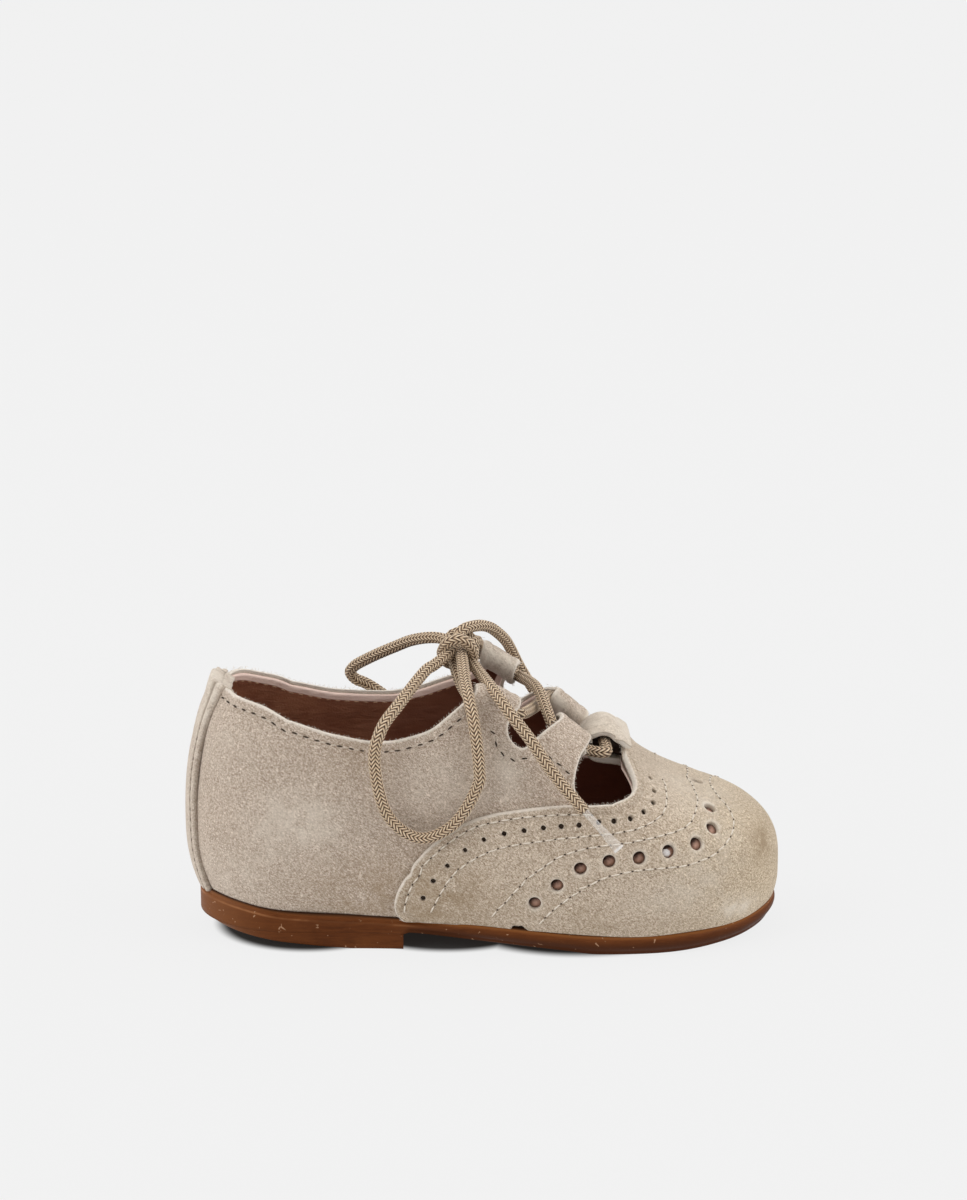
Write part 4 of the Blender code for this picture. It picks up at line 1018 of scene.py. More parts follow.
backingParts = []
for side in (near, far):
    along, up = gridOf(spans(-20.0, (28.0, 48), (toeMid, 50)), spans(-0.98, (0.0, 9), (0.9, 44)))
    base = lastPoint(along, up, side)
    field = np.minimum(edgeLines["vamp", side].distance(base) - 1.2, np.where(up > 0.6, base[..., 0] - 33, 30.0))
    a, u, poly = clipGrid(along, up, field, (0.0,))
    backingParts.append((a, u, poly, side, lastPoint, {"edge": np.full(len(a), 9.0)}))
verts, faces, values = sheet(backingParts, flat(0.0), flat(-0.5), rimRows=1)
backing = makePiece("vampBacking", verts, faces, [backingLeather], values)
place(backing, "lining_leather")


def bentSheet(top, thick, roundBy, rimRows=4):
    # closed sheet from a grid of points, rounded at its two long sides and its end
    rows, cols = top.shape[:2]
    lean = unit(np.cross(np.gradient(top, axis=0), np.gradient(top, axis=1)))
    run = np.linalg.norm(np.diff(top, axis=1), axis=2)
    fromLeft = np.concatenate([np.zeros((rows, 1)), np.cumsum(run, axis=1)], 1)
    walk = np.linalg.norm(np.diff(top, axis=0), axis=2)
    toEnd = np.concatenate([np.cumsum(walk[::-1], axis=0)[::-1], np.zeros((1, cols))], 0)
    d = np.minimum(np.minimum(fromLeft, fromLeft[:, -1:] - fromLeft), toEnd)
    outer = (top + lean * rounded(d, roundBy, roundBy)[..., None]).reshape(-1, 3)
    inner = (top - lean * thick).reshape(-1, 3)
    n = rows * cols
    i, j = np.meshgrid(np.arange(rows - 1), np.arange(cols - 1), indexing="ij")
    a = i * cols + j
    quads = np.stack([a, a + cols, a + cols + 1, a + 1], -1).reshape(-1, 4)
    faces = quads.tolist() + (quads[:, ::-1] + n).tolist()
    ring = [r * cols for r in range(rows)] + [(rows - 1) * cols + c for c in range(1, cols)]
    ring += [r * cols + cols - 1 for r in range(rows - 2, -1, -1)] + list(range(cols - 2, 0, -1))
    verts, edge = [outer, inner], [d.ravel(), np.full(n, 9.0)]
    layers = [ring]
    for row in range(1, rimRows):
        share = row / rimRows
        verts.append(outer[ring] * (1 - share) + inner[ring] * share)
        edge.append(np.zeros(len(ring)))
        layers.append([2 * n + (row - 1) * len(ring) + k for k in range(len(ring))])
    layers.append([v + n for v in ring])
    for low, high in zip(layers, layers[1:]):
        faces += [[low[k], low[k - 1], high[k - 1], high[k]] for k in range(len(ring))]
    return np.vstack(verts), faces, np.concatenate(edge)


# throat strap: x, z, half width, from the vamp back over the lace and forward again below it
strapForm = {
    "thick": 1.5, "roundBy": 0.45, "sag": 1.0, "archSag": 2.6, "sagCurve": 2.4, "farDrop": 0.07, "rub": 0.8,
    "spacing": 0.35, "across": 52, "crowd": 1.25,  # finer toward both sides
    "rows": ((32.6, 44.25, 9.6), (31.2, 45.55, 10.2), (30.0, 46.9, 8.8), (28.8, 47.8, 8.1), (27.4, 48.1, 7.9),
             (25.9, 47.6, 7.8), (24.5, 46.4, 7.7), (24.0, 44.9, 7.6), (24.4, 43.2, 7.5), (25.6, 41.9, 7.4),
             (27.4, 41.4, 7.3), (29.6, 41.1, 7.2), (32.0, 40.5, 7.0), (34.5, 39.6, 6.8)),
    # lining that closes the fold inside, dark as painted shade in the tunnel: y, share of the fold's section, drop,
    # thickness
    "plug": (-4.8, 0.84, 0.1, 0.6),
}
form = strapForm
line = through(form["rows"], form["spacing"])
share = np.linspace(-1, 1, form["across"])
share = np.sign(share) * (1 - (1 - np.abs(share)) ** form["crowd"])
x, z, half = line[:, 0:1] + 0 * share, line[:, 1:2] + 0 * share, line[:, 2:3]
y = half * share
turnRow = int(np.argmin(line[:, 0]))
rowShare = np.arange(len(line)) / turnRow
arch = ease(rowShare, 0.15, 0.45) * (1 - ease(rowShare, 0.7, 1.1))
hang = form["sag"] * (1 - 0.6 * ease(rowShare, 0, 1)) + form["archSag"] * arch
sag = hang[:, None] * (np.abs(y) / 10) ** form["sagCurve"]
upperRows = (np.arange(len(line)) < turnRow + 4)[:, None]
drop = form["farDrop"] * np.maximum(y + 3, 0) * (1 - ease(x, 29, 33)) * upperRows
strapTop = np.stack([x, y + smooth(lastForm["length"], x, swingCol), z - sag - drop], -1)
verts, faces, edge = bentSheet(strapTop, form["thick"], form["roundBy"])
blank = np.zeros(len(verts))
values = {"edge": edge, "smudge": blank, "rub": blank + form["rub"], "seam": blank}
strap = makePiece("throatStrap", verts, faces, [vampSuede], values)
place(strap, "suede")
plugY, share, drop, thick = form["plug"]
section = np.array(form["rows"])[:, :2]
section = section.mean(0) + (section - section.mean(0)) * share
count = len(section)
ring = np.stack([section[:, 0], np.full(count, plugY), section[:, 1] - drop], 1)
verts = np.vstack([ring, ring + (0, thick, 0)])
faces = [list(range(count)), list(range(2 * count - 1, count - 1, -1))]
faces += [[k, k + count, (k + 1) % count + count, (k + 1) % count] for k in range(count)]
plug = makePiece("strapPlug", verts, faces, [tunnelShadeLeather], {"edge": np.full(2 * count, 9.0)})
place(plug, "lining_leather")

# heel strip: a stitched ridge along each side, its top folded over the collar
stripForm = {
    "outer": 1.15, "inner": 0.05, "round": 0.8, "ridge": 0.10, "ridgeAt": 0.85, "ridgeWide": 0.55,
    "groove": 0.25, "grooveAt": 2.0, "over": 0.35,
    # thicker toward the top: by how much, between which heights, and what is left of it at the long sides
    "topSwell": 0.9, "topZ": (44, 58), "capSwell": 1.5, "capZ": (53.5, 59.5), "sideSwell": 0.15,
    "swellIn": (0.3, 4.5),
    # a paler tone for the whole strip; painted light on its cap, whose side lies in shade; the heights over which the
    # edge's painted shade fades out
    "rub": 0.35, "capPaintedLight": (0.65, (-63, 0, 60), (9, 20, 9)), "darkToZ": (48, 56),
    # the fold inside the collar: depth, start and end of its face, how soon it turns over, its back
    "foldDeep": 6.0, "foldOut": 2.6, "foldIn": -1.65, "foldTurn": (0.2, 1.4), "foldBack": -2.5, "foldRub": 0.7,
    "foldLine": ((-110, 0.70), (-110, 0.55), (-111, 0.40), (-112, 0.25)),
    # along, up, from the collar down
    "line": ((-103, 0.66), (-104.5, 0.56), (-106.5, 0.49), (-109, 0.42), (-111, 0.29), (-112, 0.12), (-110.8, 0.01),
             (-109.8, -0.42), (-108.5, -0.72), (-107.5, -1.0), (-107.2, -1.15)),
}
stripParts, stripLines = [], {}
for side in (near, far):
    stripLines[side] = EdgeLine(stripForm["line"], side, lastPoint, soften=1.0)
    along, up = gridOf(spans(backMid, (-98.0, 96)), spans(-1.0, (0.0, 26), (0.64, 76)))

    def stripEdges(a, u):
        p = lastPoint(a, u, side)
        return stripLines[side].distance(p), edgeLines["top", side].distance(p) + stripForm["over"]

    long, top = stripEdges(along, up)
    a, u, poly = clipGrid(along, up, np.minimum(long, top), (0.0, 0.15, 0.45))
    long, top = stripEdges(a, u)
    stripParts.append((a, u, poly, side, lastPoint, {"edge": np.minimum(long, top), "long": np.maximum(long, 0)}))


def stripOuter(values, p):
    form, d = stripForm, values["long"]
    seam = form["ridge"] * ridge(d, form["ridgeAt"], form["ridgeWide"])
    seam = seam - form["groove"] * ridge(d, form["grooveAt"], 0.3)
    swell = form["topSwell"] * ease(p[:, 2], *form["topZ"]) + form["capSwell"] * ease(p[:, 2], *form["capZ"])
    swell = swell * (form["sideSwell"] + (1 - form["sideSwell"]) * ease(d, *form["swellIn"]))
    return form["outer"] + seam + swell + rounded(values["edge"], form["round"], form["round"])


verts, faces, values = sheet(stripParts, stripOuter, flat(stripForm["inner"]))
long = values.pop("long")
values["edge"] = np.maximum(values["edge"], 0.7)
# painted shade in the groove beside the stitched ridge and, lower down, along the strip's edge where it lies on the
# quarter
lowPart = 1 - ease(verts[:, 2], *stripForm["darkToZ"])
seam = 0.75 * ridge(long, stripForm["grooveAt"], 0.38) + 0.5 * ridge(long, 0.0, 0.2) * lowPart
values.update(smudge=np.zeros(len(verts)), rub=stripForm["rub"] + spots(verts, (stripForm["capPaintedLight"],)), seam=seam)
heelStrip = makePiece("heelStrip", verts, faces, [quarterSuede], values)
place(heelStrip, "suede", "heel_strip")

# the strip's top folds over the collar and lies inside it
foldParts = []
for side in (near, far):
    foldLineIn = EdgeLine(stripForm["foldLine"], side, lastPoint)
    along, up = gridOf(spans(backMid, (-102.0, 60)), spans(0.36, (0.64, 60)))

    def foldField(a, u):
        p = lastPoint(a, u, side)
        top = edgeLines["top", side].distance(p) + stripForm["over"]
        return np.minimum(np.minimum(top, stripForm["foldDeep"] - top), foldLineIn.distance(p)), top

    a, u, poly = clipGrid(along, up, foldField(along, up)[0], (0.0, 0.25, 0.5))
    edge, top = foldField(a, u)
    foldParts.append((a, u, poly, side, lastPoint, {"edge": edge, "top": np.maximum(top, 0)}))


def foldFace(values, p):
    turned = ease(values["top"], *stripForm["foldTurn"])
    return stripForm["foldOut"] * (1 - turned) + stripForm["foldIn"] * turned + rounded(values["top"], 0.5, 0.5)


def foldBack(values, p):
    return stripForm["foldBack"] - rounded(values["edge"], 0.4, 0.5)


verts, faces, values = sheet(foldParts, foldFace, foldBack, innerEdge=True)
values.pop("top")
blank = np.zeros(len(verts))
values["edge"] = values["edge"] + 0.7
values.update(smudge=blank, rub=blank + stripForm["foldRub"], seam=blank)
stripFold = makePiece("stripFold", verts, faces, [quarterSuede], values)
place(stripFold, "suede")
print("upper done")


# sole, heel and insole: rows of (inset, share of the way out, height) lofted round the outline
soleForm = {
    "weltHeel": 0.8, "weltFore": 1.9, "weltFrom": -22.0, "weltTo": 2.0, "lipDepth": 1.15, "lipStep": 0.32,
    "bevel": 0.8, "under": 1.3, "bulge": 0.22, "flatFrom": 26.0, "flatTo": 36.0, "flatFade": 18.0,
    "breastX": -18.5, "backTaper": 1.3, "heelFlatX": -30.0, "heelRise": 4.4, "heelCurve": 1.25,
    "insoleThick": 1.2, "insoleInset": 2.1,
}


def plan(along, side, inset, share):
    pivot, dirX, dirY, radius, w, heel = station(along, side)
    tuck = np.where(heel, lastForm["tuckBack"], lastForm["tuckTip"]) * (1 - w) + lastForm["tuckSide"] * w
    reach = (radius - tuck - inset) * share
    x = pivot + reach * dirX
    return x, reach * dirY + smooth(lastForm["length"], x, swingCol)


def seatAt(x):
    return smooth(lastForm["length"], x, seatCol)


def floorAt(x):
    curve = smooth(lastForm["length"], x, floorCol)
    level = ease(x, soleForm["flatFrom"] - 8, soleForm["flatFrom"])
    level = level * (1 - ease(x, soleForm["flatTo"], soleForm["flatTo"] + soleForm["flatFade"]))
    return np.maximum(curve * (1 - level), 0.0)


def welt(along):
    share = ease(along, soleForm["weltFrom"], soleForm["weltTo"])
    return soleForm["weltHeel"] + (soleForm["weltFore"] - soleForm["weltHeel"]) * share


def loft(name, rows, alongs, mat, endFace=False):  # rows: (inset by place, share of the way out, height by x)
    verts, faces, drop, under = [], [], [], []
    count = len(rows)
    for side in (near, far):
        base = sum(len(v) for v in verts)
        block = np.zeros((len(alongs), count, 3))
        below = np.zeros((len(alongs), count))
        for k, (inset, share, height) in enumerate(rows):
            x, y = plan(alongs, side, inset(alongs), share)
            block[:, k] = np.stack([x, y, height(x)], 1)
            below[:, k] = np.where(share > 0.97, seatAt(x) - height(x), 9.0 if k < count / 2 else 0.0)
        verts.append(block.reshape(-1, 3))
        drop.append(below.ravel())
        # rows on the underside, which the sole's finish darkens as painted shade
        shadedUnderside = [float(k < count / 2 and row[1] < 0.99) for k, row in enumerate(rows)]
        under.append(np.tile(shadedUnderside, len(alongs)))
        for i in range(len(alongs) - 1):
            for k in range(count - 1):
                a = base + i * count + k
                quad = [a, a + 1, a + count + 1, a + count]
                faces.append(quad if side == near else quad[::-1])
    if endFace:
        lastCol, half = (len(alongs) - 1) * count, len(alongs) * count
        faces.append([lastCol + k for k in range(count)] + [half + lastCol + k for k in range(count - 2, 0, -1)])
    values = {"below": np.concatenate(drop), "under": np.concatenate(under)}
    obj = makePiece(name, np.vstack(verts), faces, [mat], values)
    bm = bmesh.new()
    bm.from_mesh(obj.data)
    bmesh.ops.remove_doubles(bm, verts=bm.verts, dist=0.000004)
    bmesh.ops.dissolve_degenerate(bm, edges=bm.edges, dist=0.000001)
    bmesh.ops.recalc_face_normals(bm, faces=bm.faces)
    bm.to_mesh(obj.data)
    bm.free()
    return obj


def soleMaterial():
    mat, net, shader = newMaterial("soleLeather")
    spot = net.spot()
    drawn = net.drawn(spot, Scale=(0.18, 0.18, 1.6))
    streak = net.noise(drawn, 900, 4, 0.65, 0.6)
    cloud = net.noise(spot, 90, 3, 0.6, 0.3)
    grit = net.noise(spot, 2600, 2, 0.6)
    below = net.attribute("below")
    wander = net.plus(below, net.times(net.minus(cloud, 0.5), 0.5))
    colour = net.mix(net.fade(streak, 0.35, 0.65), srgb(84, 43, 17), srgb(100, 54, 24))
    colour = net.mix(net.fade(cloud, 0.3, 0.7, 0.0, 0.5), colour, srgb(116, 66, 32))
    # dark band along the sole's top: painted shade under the upper's edge
    colour = net.mix(net.fade(wander, 0.35, 0.7, 0.8, 0.0), colour, srgb(50, 27, 14))
    lip = net.times(net.fade(wander, 1.35, 1.6), net.fade(wander, 2.1, 1.75))
    xyz = net.split(spot)
    heelPart = net.fade(xyz["X"], -0.012, -0.022)
    colour = net.mix(net.fade(xyz["X"], -0.048, -0.064, 0.0, 0.4), colour, srgb(150, 98, 60))
    # lighter line along the heel's lip step: painted highlight
    heelLipHighlight = net.times(net.times(lip, heelPart), net.fade(cloud, 0.42, 0.62, 0.08, 0.5))
    colour = net.mix(heelLipHighlight, colour, srgb(172, 118, 78))
    # darker low on the wall, mostly before the heel: painted shade where the sole curves under
    low = net.times(net.fade(wander, 0.9, 3.0, 0.15, 0.85), net.fade(heelPart, 0.0, 1.0, 1.0, 0.25))
    colour = net.mix(low, colour, srgb(66, 33, 14))
    # lighter band near the top before the heel: painted highlight where the sole's edge faces up
    foreLipHighlight = net.times(net.fade(wander, 1.3, 0.5, 0.0, 0.6), net.fade(heelPart, 0.0, 1.0, 1.0, 0.3))
    colour = net.mix(foreLipHighlight, colour, srgb(146, 90, 46))
    fleck = net.fade(net.noise(spot, 560, 2, 0.5, 1.2), 0.69, 0.73, 0.0, 0.6)
    colour = net.mix(fleck, colour, srgb(190, 150, 118))
    # darkest line right under the upper: painted shade
    colour = net.mix(net.fade(below, 0.45, 0.1, 0.0, 0.8), colour, srgb(38, 20, 10))
    # underside darker: painted shade
    colour = net.mix(net.attribute("under"), colour, srgb(44, 25, 14))
    scuff = net.times(net.fade(grit, 0.66, 0.76), net.fade(cloud, 0.45, 0.7))
    colour = net.mix(net.times(scuff, 0.4), colour, srgb(160, 108, 70))
    net.link(colour, shader.inputs["Base Color"])
    net.link(net.fade(streak, 0.3, 0.7, 0.42, 0.6), shader.inputs["Roughness"])
    height = net.plus(net.times(streak, 0.7), net.times(grit, 0.3))
    net.bump(shader, height, 0.35, 0.0002)
    setInputs(shader, Specular_IOR_Level=0.08)
    return mat


soleLeather = soleMaterial()
spec = soleForm
outline = spans(backMid, (lastForm["heelPivot"], 70), (lastForm["toePivot"], 110), (toeMid, 100))


def edgeRow(inset, share, top, drop):  # a row drop mm below the sole's top, or above its floor
    return (lambda a: inset - welt(a), share, (lambda x: seatAt(x) - drop) if top else (lambda x: floorAt(x) + drop))


def fore(at):  # 0 over the heel, 1 before it
    return ease(at, spec["breastX"] - 0.5, spec["breastX"] + 1.5)


def bevelRow(share, turn):  # rounded bottom edge, plain where the heel sits
    return (lambda a: (spec["bevel"] * (1 - math.sin(turn)) + spec["under"]) * fore(a) - welt(a), share,
            lambda x: floorAt(x) + spec["bevel"] * fore(x) * (1 - math.cos(turn)))


bottomRows = [edgeRow(0.0, s, False, 0.0) for s in (0.0, 0.2, 0.4, 0.6, 0.8)]
bottomRows += [bevelRow(s, 0.0) for s in (0.92, 1.0)]
bevelRows = [bevelRow(1.0, t) for t in (0.4, 0.8, 1.2, 1.57)]


def wallRow(share):  # side of the sole between its bevel and the lip
    cutUnder = spec["under"] * (1 - share) ** 1.6 - spec["bulge"] * math.sin(math.pi * share)

    def height(x):
        low, high = floorAt(x) + spec["bevel"] * fore(x), seatAt(x) - spec["lipDepth"] - 0.25
        return low * (1 - share) + high * share

    return (lambda a: cutUnder * fore(a) - welt(a), 1.0, height)


wallRows = [wallRow(s) for s in (0.15, 0.3, 0.45, 0.6, 0.75, 0.9, 1.0)]
step, deep = spec["lipStep"], spec["lipDepth"]
lipShape = ((0.04, deep + 0.12), (0.14, deep), (step, deep - 0.12), (step + 0.04, deep - 0.4), (step, 0.35),
            (step + 0.1, 0.1), (step + 0.3, 0.0))
lipRows = [edgeRow(inset, 1.0, True, drop) for inset, drop in lipShape]
topRows = [edgeRow(0.6, 0.9, True, 0.0)] + [edgeRow(0.0, s, True, 0.0) for s in (0.7, 0.4, 0.0)]
outsole = loft("soleSlab", bottomRows + bevelRows + wallRows + lipRows + topRows, outline, soleLeather)
place(outsole, "sole_leather", "outsole")


def heelTaper(along):
    return spec["backTaper"] * (1 - ease(along, backMid, lastForm["heelPivot"] + 10)) + 0.2


def heelFloor(x):
    back = (spec["heelFlatX"] - x) / (spec["heelFlatX"] - lastForm["backX"])
    return spec["heelRise"] * np.clip(back, 0, 1) ** spec["heelCurve"]


def heelRow(inset, share, height):  # height: share of the way from floor to the sole
    return (lambda a: heelTaper(a) * (1 - height) + inset - welt(a), share,
            lambda x: heelFloor(x) * (1 - height) + (floorAt(x) + 0.02) * height)


heelLine = spans(backMid, (lastForm["heelPivot"], 70), (spec["breastX"], 40))
heelRows = [heelRow(0.0, s, 0.0) for s in (0.0, 0.3, 0.6, 0.85)]
heelRows += [heelRow(inset, 1.0, h) for inset, h in ((0.5, 0.0), (0.3, 0.02), (0.12, 0.06), (0.0, 0.13))]
heelRows += [heelRow(0.0, 1.0, h) for h in (0.3, 0.5, 0.7, 0.88, 1.0)]
heelRows += [heelRow(0.0, s, 1.0) for s in (0.7, 0.35, 0.0)]
heelPiece = loft("heelBlock", heelRows, heelLine, soleLeather, endFace=True)
place(heelPiece, "sole_leather", "heel")

insoleLeather = liningMaterial("insoleLeather", srgb(150, 98, 74), srgb(126, 76, 56))


def insoleRow(share, lift):
    return (lambda a: spec["insoleInset"] + 0 * a, share, lambda x: seatAt(x) + 0.1 + lift)


insoleRows = [insoleRow(s, 0.0) for s in (0.0, 0.5, 1.0)]
insoleRows += [insoleRow(1.0, spec["insoleThick"] * h) for h in (0.5, 0.85)]
insoleRows += [insoleRow(s, spec["insoleThick"]) for s in (0.985, 0.9, 0.6, 0.3, 0.0)]
insoleLine = spans(backMid, (lastForm["heelPivot"], 30), (lastForm["toePivot"], 50), (toeMid, 40))
insole = loft("footbed", insoleRows, insoleLine, insoleLeather)
place(insole, "lining_leather", "insole")
print("sole done")


# stitches: small beads of thread set along paths by Geometry Nodes
def beadTree(name):
    tree = bpy.data.node_groups.new(name, "GeometryNodeTree")
    face = tree.interface
    face.new_socket("Geometry", in_out="INPUT", socket_type="NodeSocketGeometry")
    for key, value in (("Length", 0.0013), ("Width", 0.0004), ("Height", 0.0003), ("Wander", 0.12)):
        face.new_socket(key, in_out="INPUT", socket_type="NodeSocketFloat").default_value = value
    face.new_socket("Seed", in_out="INPUT", socket_type="NodeSocketInt").default_value = 7
    face.new_socket("Thread", in_out="INPUT", socket_type="NodeSocketMaterial")
    face.new_socket("Geometry", in_out="OUTPUT", socket_type="NodeSocketGeometry")
    net = Net(tree)
    given, result = net.add("NodeGroupInput").outputs, net.add("NodeGroupOutput").inputs
    bead = net.add("GeometryNodeMeshUVSphere", Segments=8, Rings=5, Radius=0.5)
    ways = [net.add("GeometryNodeInputNamedAttribute", data_type="FLOAT_VECTOR", Name=key).outputs["Attribute"]
            for key in ("way", "out")]
    jitter = net.add("FunctionNodeRandomValue", data_type="FLOAT_VECTOR")
    net.link(net.times(given["Wander"], -1.0), jitter.inputs[0])
    net.link(given["Wander"], jitter.inputs[1])
    net.link(given["Seed"], jitter.inputs["Seed"])
    swing = net.add("ShaderNodeVectorMath", operation="ADD")
    net.link(ways[0], swing.inputs[0])
    net.link(jitter.outputs[0], swing.inputs[1])
    pointed = net.add("FunctionNodeAlignRotationToVector", axis="X")
    net.link(swing.outputs[0], pointed.inputs["Vector"])
    standing = net.add("FunctionNodeAlignRotationToVector", axis="Z", pivot_axis="X")
    net.link(pointed.outputs[0], standing.inputs["Rotation"])
    net.link(ways[1], standing.inputs["Vector"])
    size = net.add("ShaderNodeCombineXYZ")
    for socket, key in zip(size.inputs, ("Length", "Width", "Height")):
        net.link(given[key], socket)
    spread = net.add("GeometryNodeInstanceOnPoints")
    net.link(given["Geometry"], spread.inputs["Points"])
    net.link(bead.outputs["Mesh"], spread.inputs["Instance"])
    net.link(standing.outputs[0], spread.inputs["Rotation"])
    net.link(size.outputs[0], spread.inputs["Scale"])
    real = net.add("GeometryNodeRealizeInstances")
    net.link(spread.outputs[0], real.inputs[0])
    shade = net.add("GeometryNodeSetShadeSmooth")
    net.link(real.outputs[0], shade.inputs["Geometry"])
    paint = net.add("GeometryNodeSetMaterial")
    net.link(shade.outputs[0], paint.inputs["Geometry"])
    net.link(given["Thread"], paint.inputs["Material"])
    net.link(paint.outputs[0], result["Geometry"])
    return tree


threadBeads = beadTree("threadBeads")


def setBeads(name, spots, ways, leans, mat, length, width, height, wander=0.1, seed=7):
    carrier = makePiece(name + "Points", spots, [], [], {"way": ways, "out": leans})
    mod = carrier.modifiers.new("beads", "NODES")
    mod.node_group = threadBeads
    ids = {s.name: s.identifier for s in threadBeads.interface.items_tree if s.in_out == "INPUT"}
    given = {"Length": length * mm, "Width": width * mm, "Height": height * mm, "Wander": wander, "Seed": seed,
             "Thread": mat}
    for key, value in given.items():
        mod[ids[key]] = value
    bpy.context.view_layer.update()
    mesh = bpy.data.meshes.new_from_object(carrier.evaluated_get(bpy.context.evaluated_depsgraph_get()))
    mesh.name = name
    bpy.data.objects.remove(carrier, do_unlink=True)
    obj = bpy.data.objects.new(name, mesh)
    bpy.context.scene.collection.objects.link(obj)
    return obj


def threadMaterial(name, tone, shade):
    mat, net, shader = newMaterial(name)
    spot = net.spot()
    ply = net.noise(spot, 3800, 2, 0.6)
    net.link(net.mix(net.fade(ply, 0.35, 0.65), shade, tone), shader.inputs["Base Color"])
    net.bump(shader, ply, 0.4, 0.0001)
    setInputs(shader, Roughness=0.8)
    return mat


# thread rows as along, up
stitchForm = {
    "pitch": 2.6, "rimIn": 2.3, "stripIn": 2.0, "stripPitch": 2.4, "liningIn": 2.6, "liningPitch": 2.2,
    # length, width, height, wander, seed
    "lining": (1.3, 0.32, 0.24, 0.08, 5), "stripMark": (0.9, 0.3, 0.24, 0.15, 3),
    # thread length, width, height, then needle mark length, width
    "collar": (1.1, 0.40, 0.30, 1.45, 0.42), "vamp": (2.1, 0.40, 0.36, 0.50, 0.36),
    "notch": ((-0.4, 0.415), (0.7, 0.415), (1.7, 0.412), (2.1, 0.400), (2.4, 0.387), (3.1, 0.375), (3.8, 0.370),
              (4.5, 0.365), (5.7, 0.367), (7.3, 0.380), (8.9, 0.395), (10.5, 0.417)),
    "tabSeam": ((12.5, 0.457), (13.8, 0.452), (15.2, 0.447), (16.5, 0.447), (17.8, 0.442), (18.5, 0.427)),
    "vampEdge": ((-18.2, -0.828), (-17.9, -0.613), (-17.2, -0.403), (-16.1, -0.173), (-14.5, 0.002), (-13.2, 0.032),
                 (-11.3, 0.054), (-9.5, 0.075), (-7.3, 0.097), (-5.3, 0.116), (-3.3, 0.134), (-0.8, 0.152),
                 (2.3, 0.172), (5.2, 0.192), (8.9, 0.217), (13.4, 0.247), (16.2, 0.267), (19.4, 0.290),
                 (23.0, 0.318)),
    "second": ((-12.3, -0.785), (-10.7, -0.478), (-9.3, -0.245), (-7.8, -0.020), (-5.6, 0.025), (-3.2, 0.050),
               (-0.6, 0.073), (2.1, 0.094), (5.2, 0.115), (8.1, 0.133), (13.4, 0.166), (16.0, 0.185), (19.3, 0.208),
               (24.1, 0.247), (28.0, 0.283), (32.9, 0.310), (40.1, 0.352), (49.3, 0.422), (56.1, 0.482),
               (61.4, 0.547), (69.1, 0.640), (79.3, 0.730)),
    "innerWing": ((1.5, -0.760), (2.8, -0.578), (4.6, -0.393), (6.2, -0.193), (7.9, -0.013), (9.9, 0.032),
                  (11.9, 0.060), (13.9, 0.088), (15.9, 0.117), (17.6, 0.137), (19.8, 0.160), (21.9, 0.181),
                  (24.8, 0.207), (28.1, 0.235), (35.4, 0.270), (41.9, 0.307), (47.4, 0.337), (53.6, 0.372),
                  (59.2, 0.402), (65.4, 0.440), (69.8, 0.477), (75.2, 0.530), (82.0, 0.585), (94.4, 0.662),
                  (108, 0.702), (118, 0.715)),
    "outerWing": ((12.1, -0.810), (14.0, -0.573), (16.0, -0.363), (18.2, -0.173), (20.3, 0.002), (22.7, 0.035),
                  (25.5, 0.070), (28.0, 0.097), (34.4, 0.125), (38.6, 0.145), (43.7, 0.163), (49.1, 0.181),
                  (53.9, 0.196), (59.4, 0.213), (63.2, 0.229), (66.7, 0.250), (70.0, 0.270), (73.0, 0.290),
                  (76.5, 0.325), (80.4, 0.366), (84.3, 0.410), (87.9, 0.454), (92.0, 0.507), (96.5, 0.560),
                  (101.3, 0.600), (110, 0.630), (118, 0.638)),
}
paleThread = threadMaterial("paleThread", srgb(234, 225, 212), srgb(206, 193, 176))
suedeThread = threadMaterial("suedeThread", srgb(214, 201, 186), srgb(186, 171, 154))
# dark beads for holes: painted shade
holeShadeDark = threadMaterial("holeShadeDark", srgb(72, 56, 42), srgb(44, 33, 24))
liningThread = threadMaterial("liningThread", srgb(196, 158, 130), srgb(150, 108, 84))
paleLint = threadMaterial("paleLint", srgb(222, 218, 216), srgb(196, 190, 188))


def alongLine(line, inset, offset, pitch, start=0.0, end=1.0):  # places at even steps beside an edge line
    points = line.points + line.inward * inset + line.lean * offset
    run = runOf(points)
    at = np.arange(run[-1] * start + pitch / 2, run[-1] * end, pitch)
    return pick(at, run, points), unit(pick(at, run, line.ahead)), unit(pick(at, run, line.lean))


def sewSeams(name, seams, slot, thread, size):  # seams: (edge line, inset, offset)
    rows = [alongLine(line, inset, offset, stitchForm["pitch"]) for line, inset, offset in seams]
    spots, ways, leans = stacked(rows)
    length, width, height, markLong, markWide = size
    place(setBeads(name, spots, ways, leans, thread, length, width, height, 0.05), slot)
    # dark marks between the stitches: painted shade in the needle holes
    holes = spots + ways * stitchForm["pitch"] / 2
    place(setBeads(name + "Holes", holes, ways, leans, holeShadeDark, markLong, markWide, 0.22, 0.12, 11), slot)


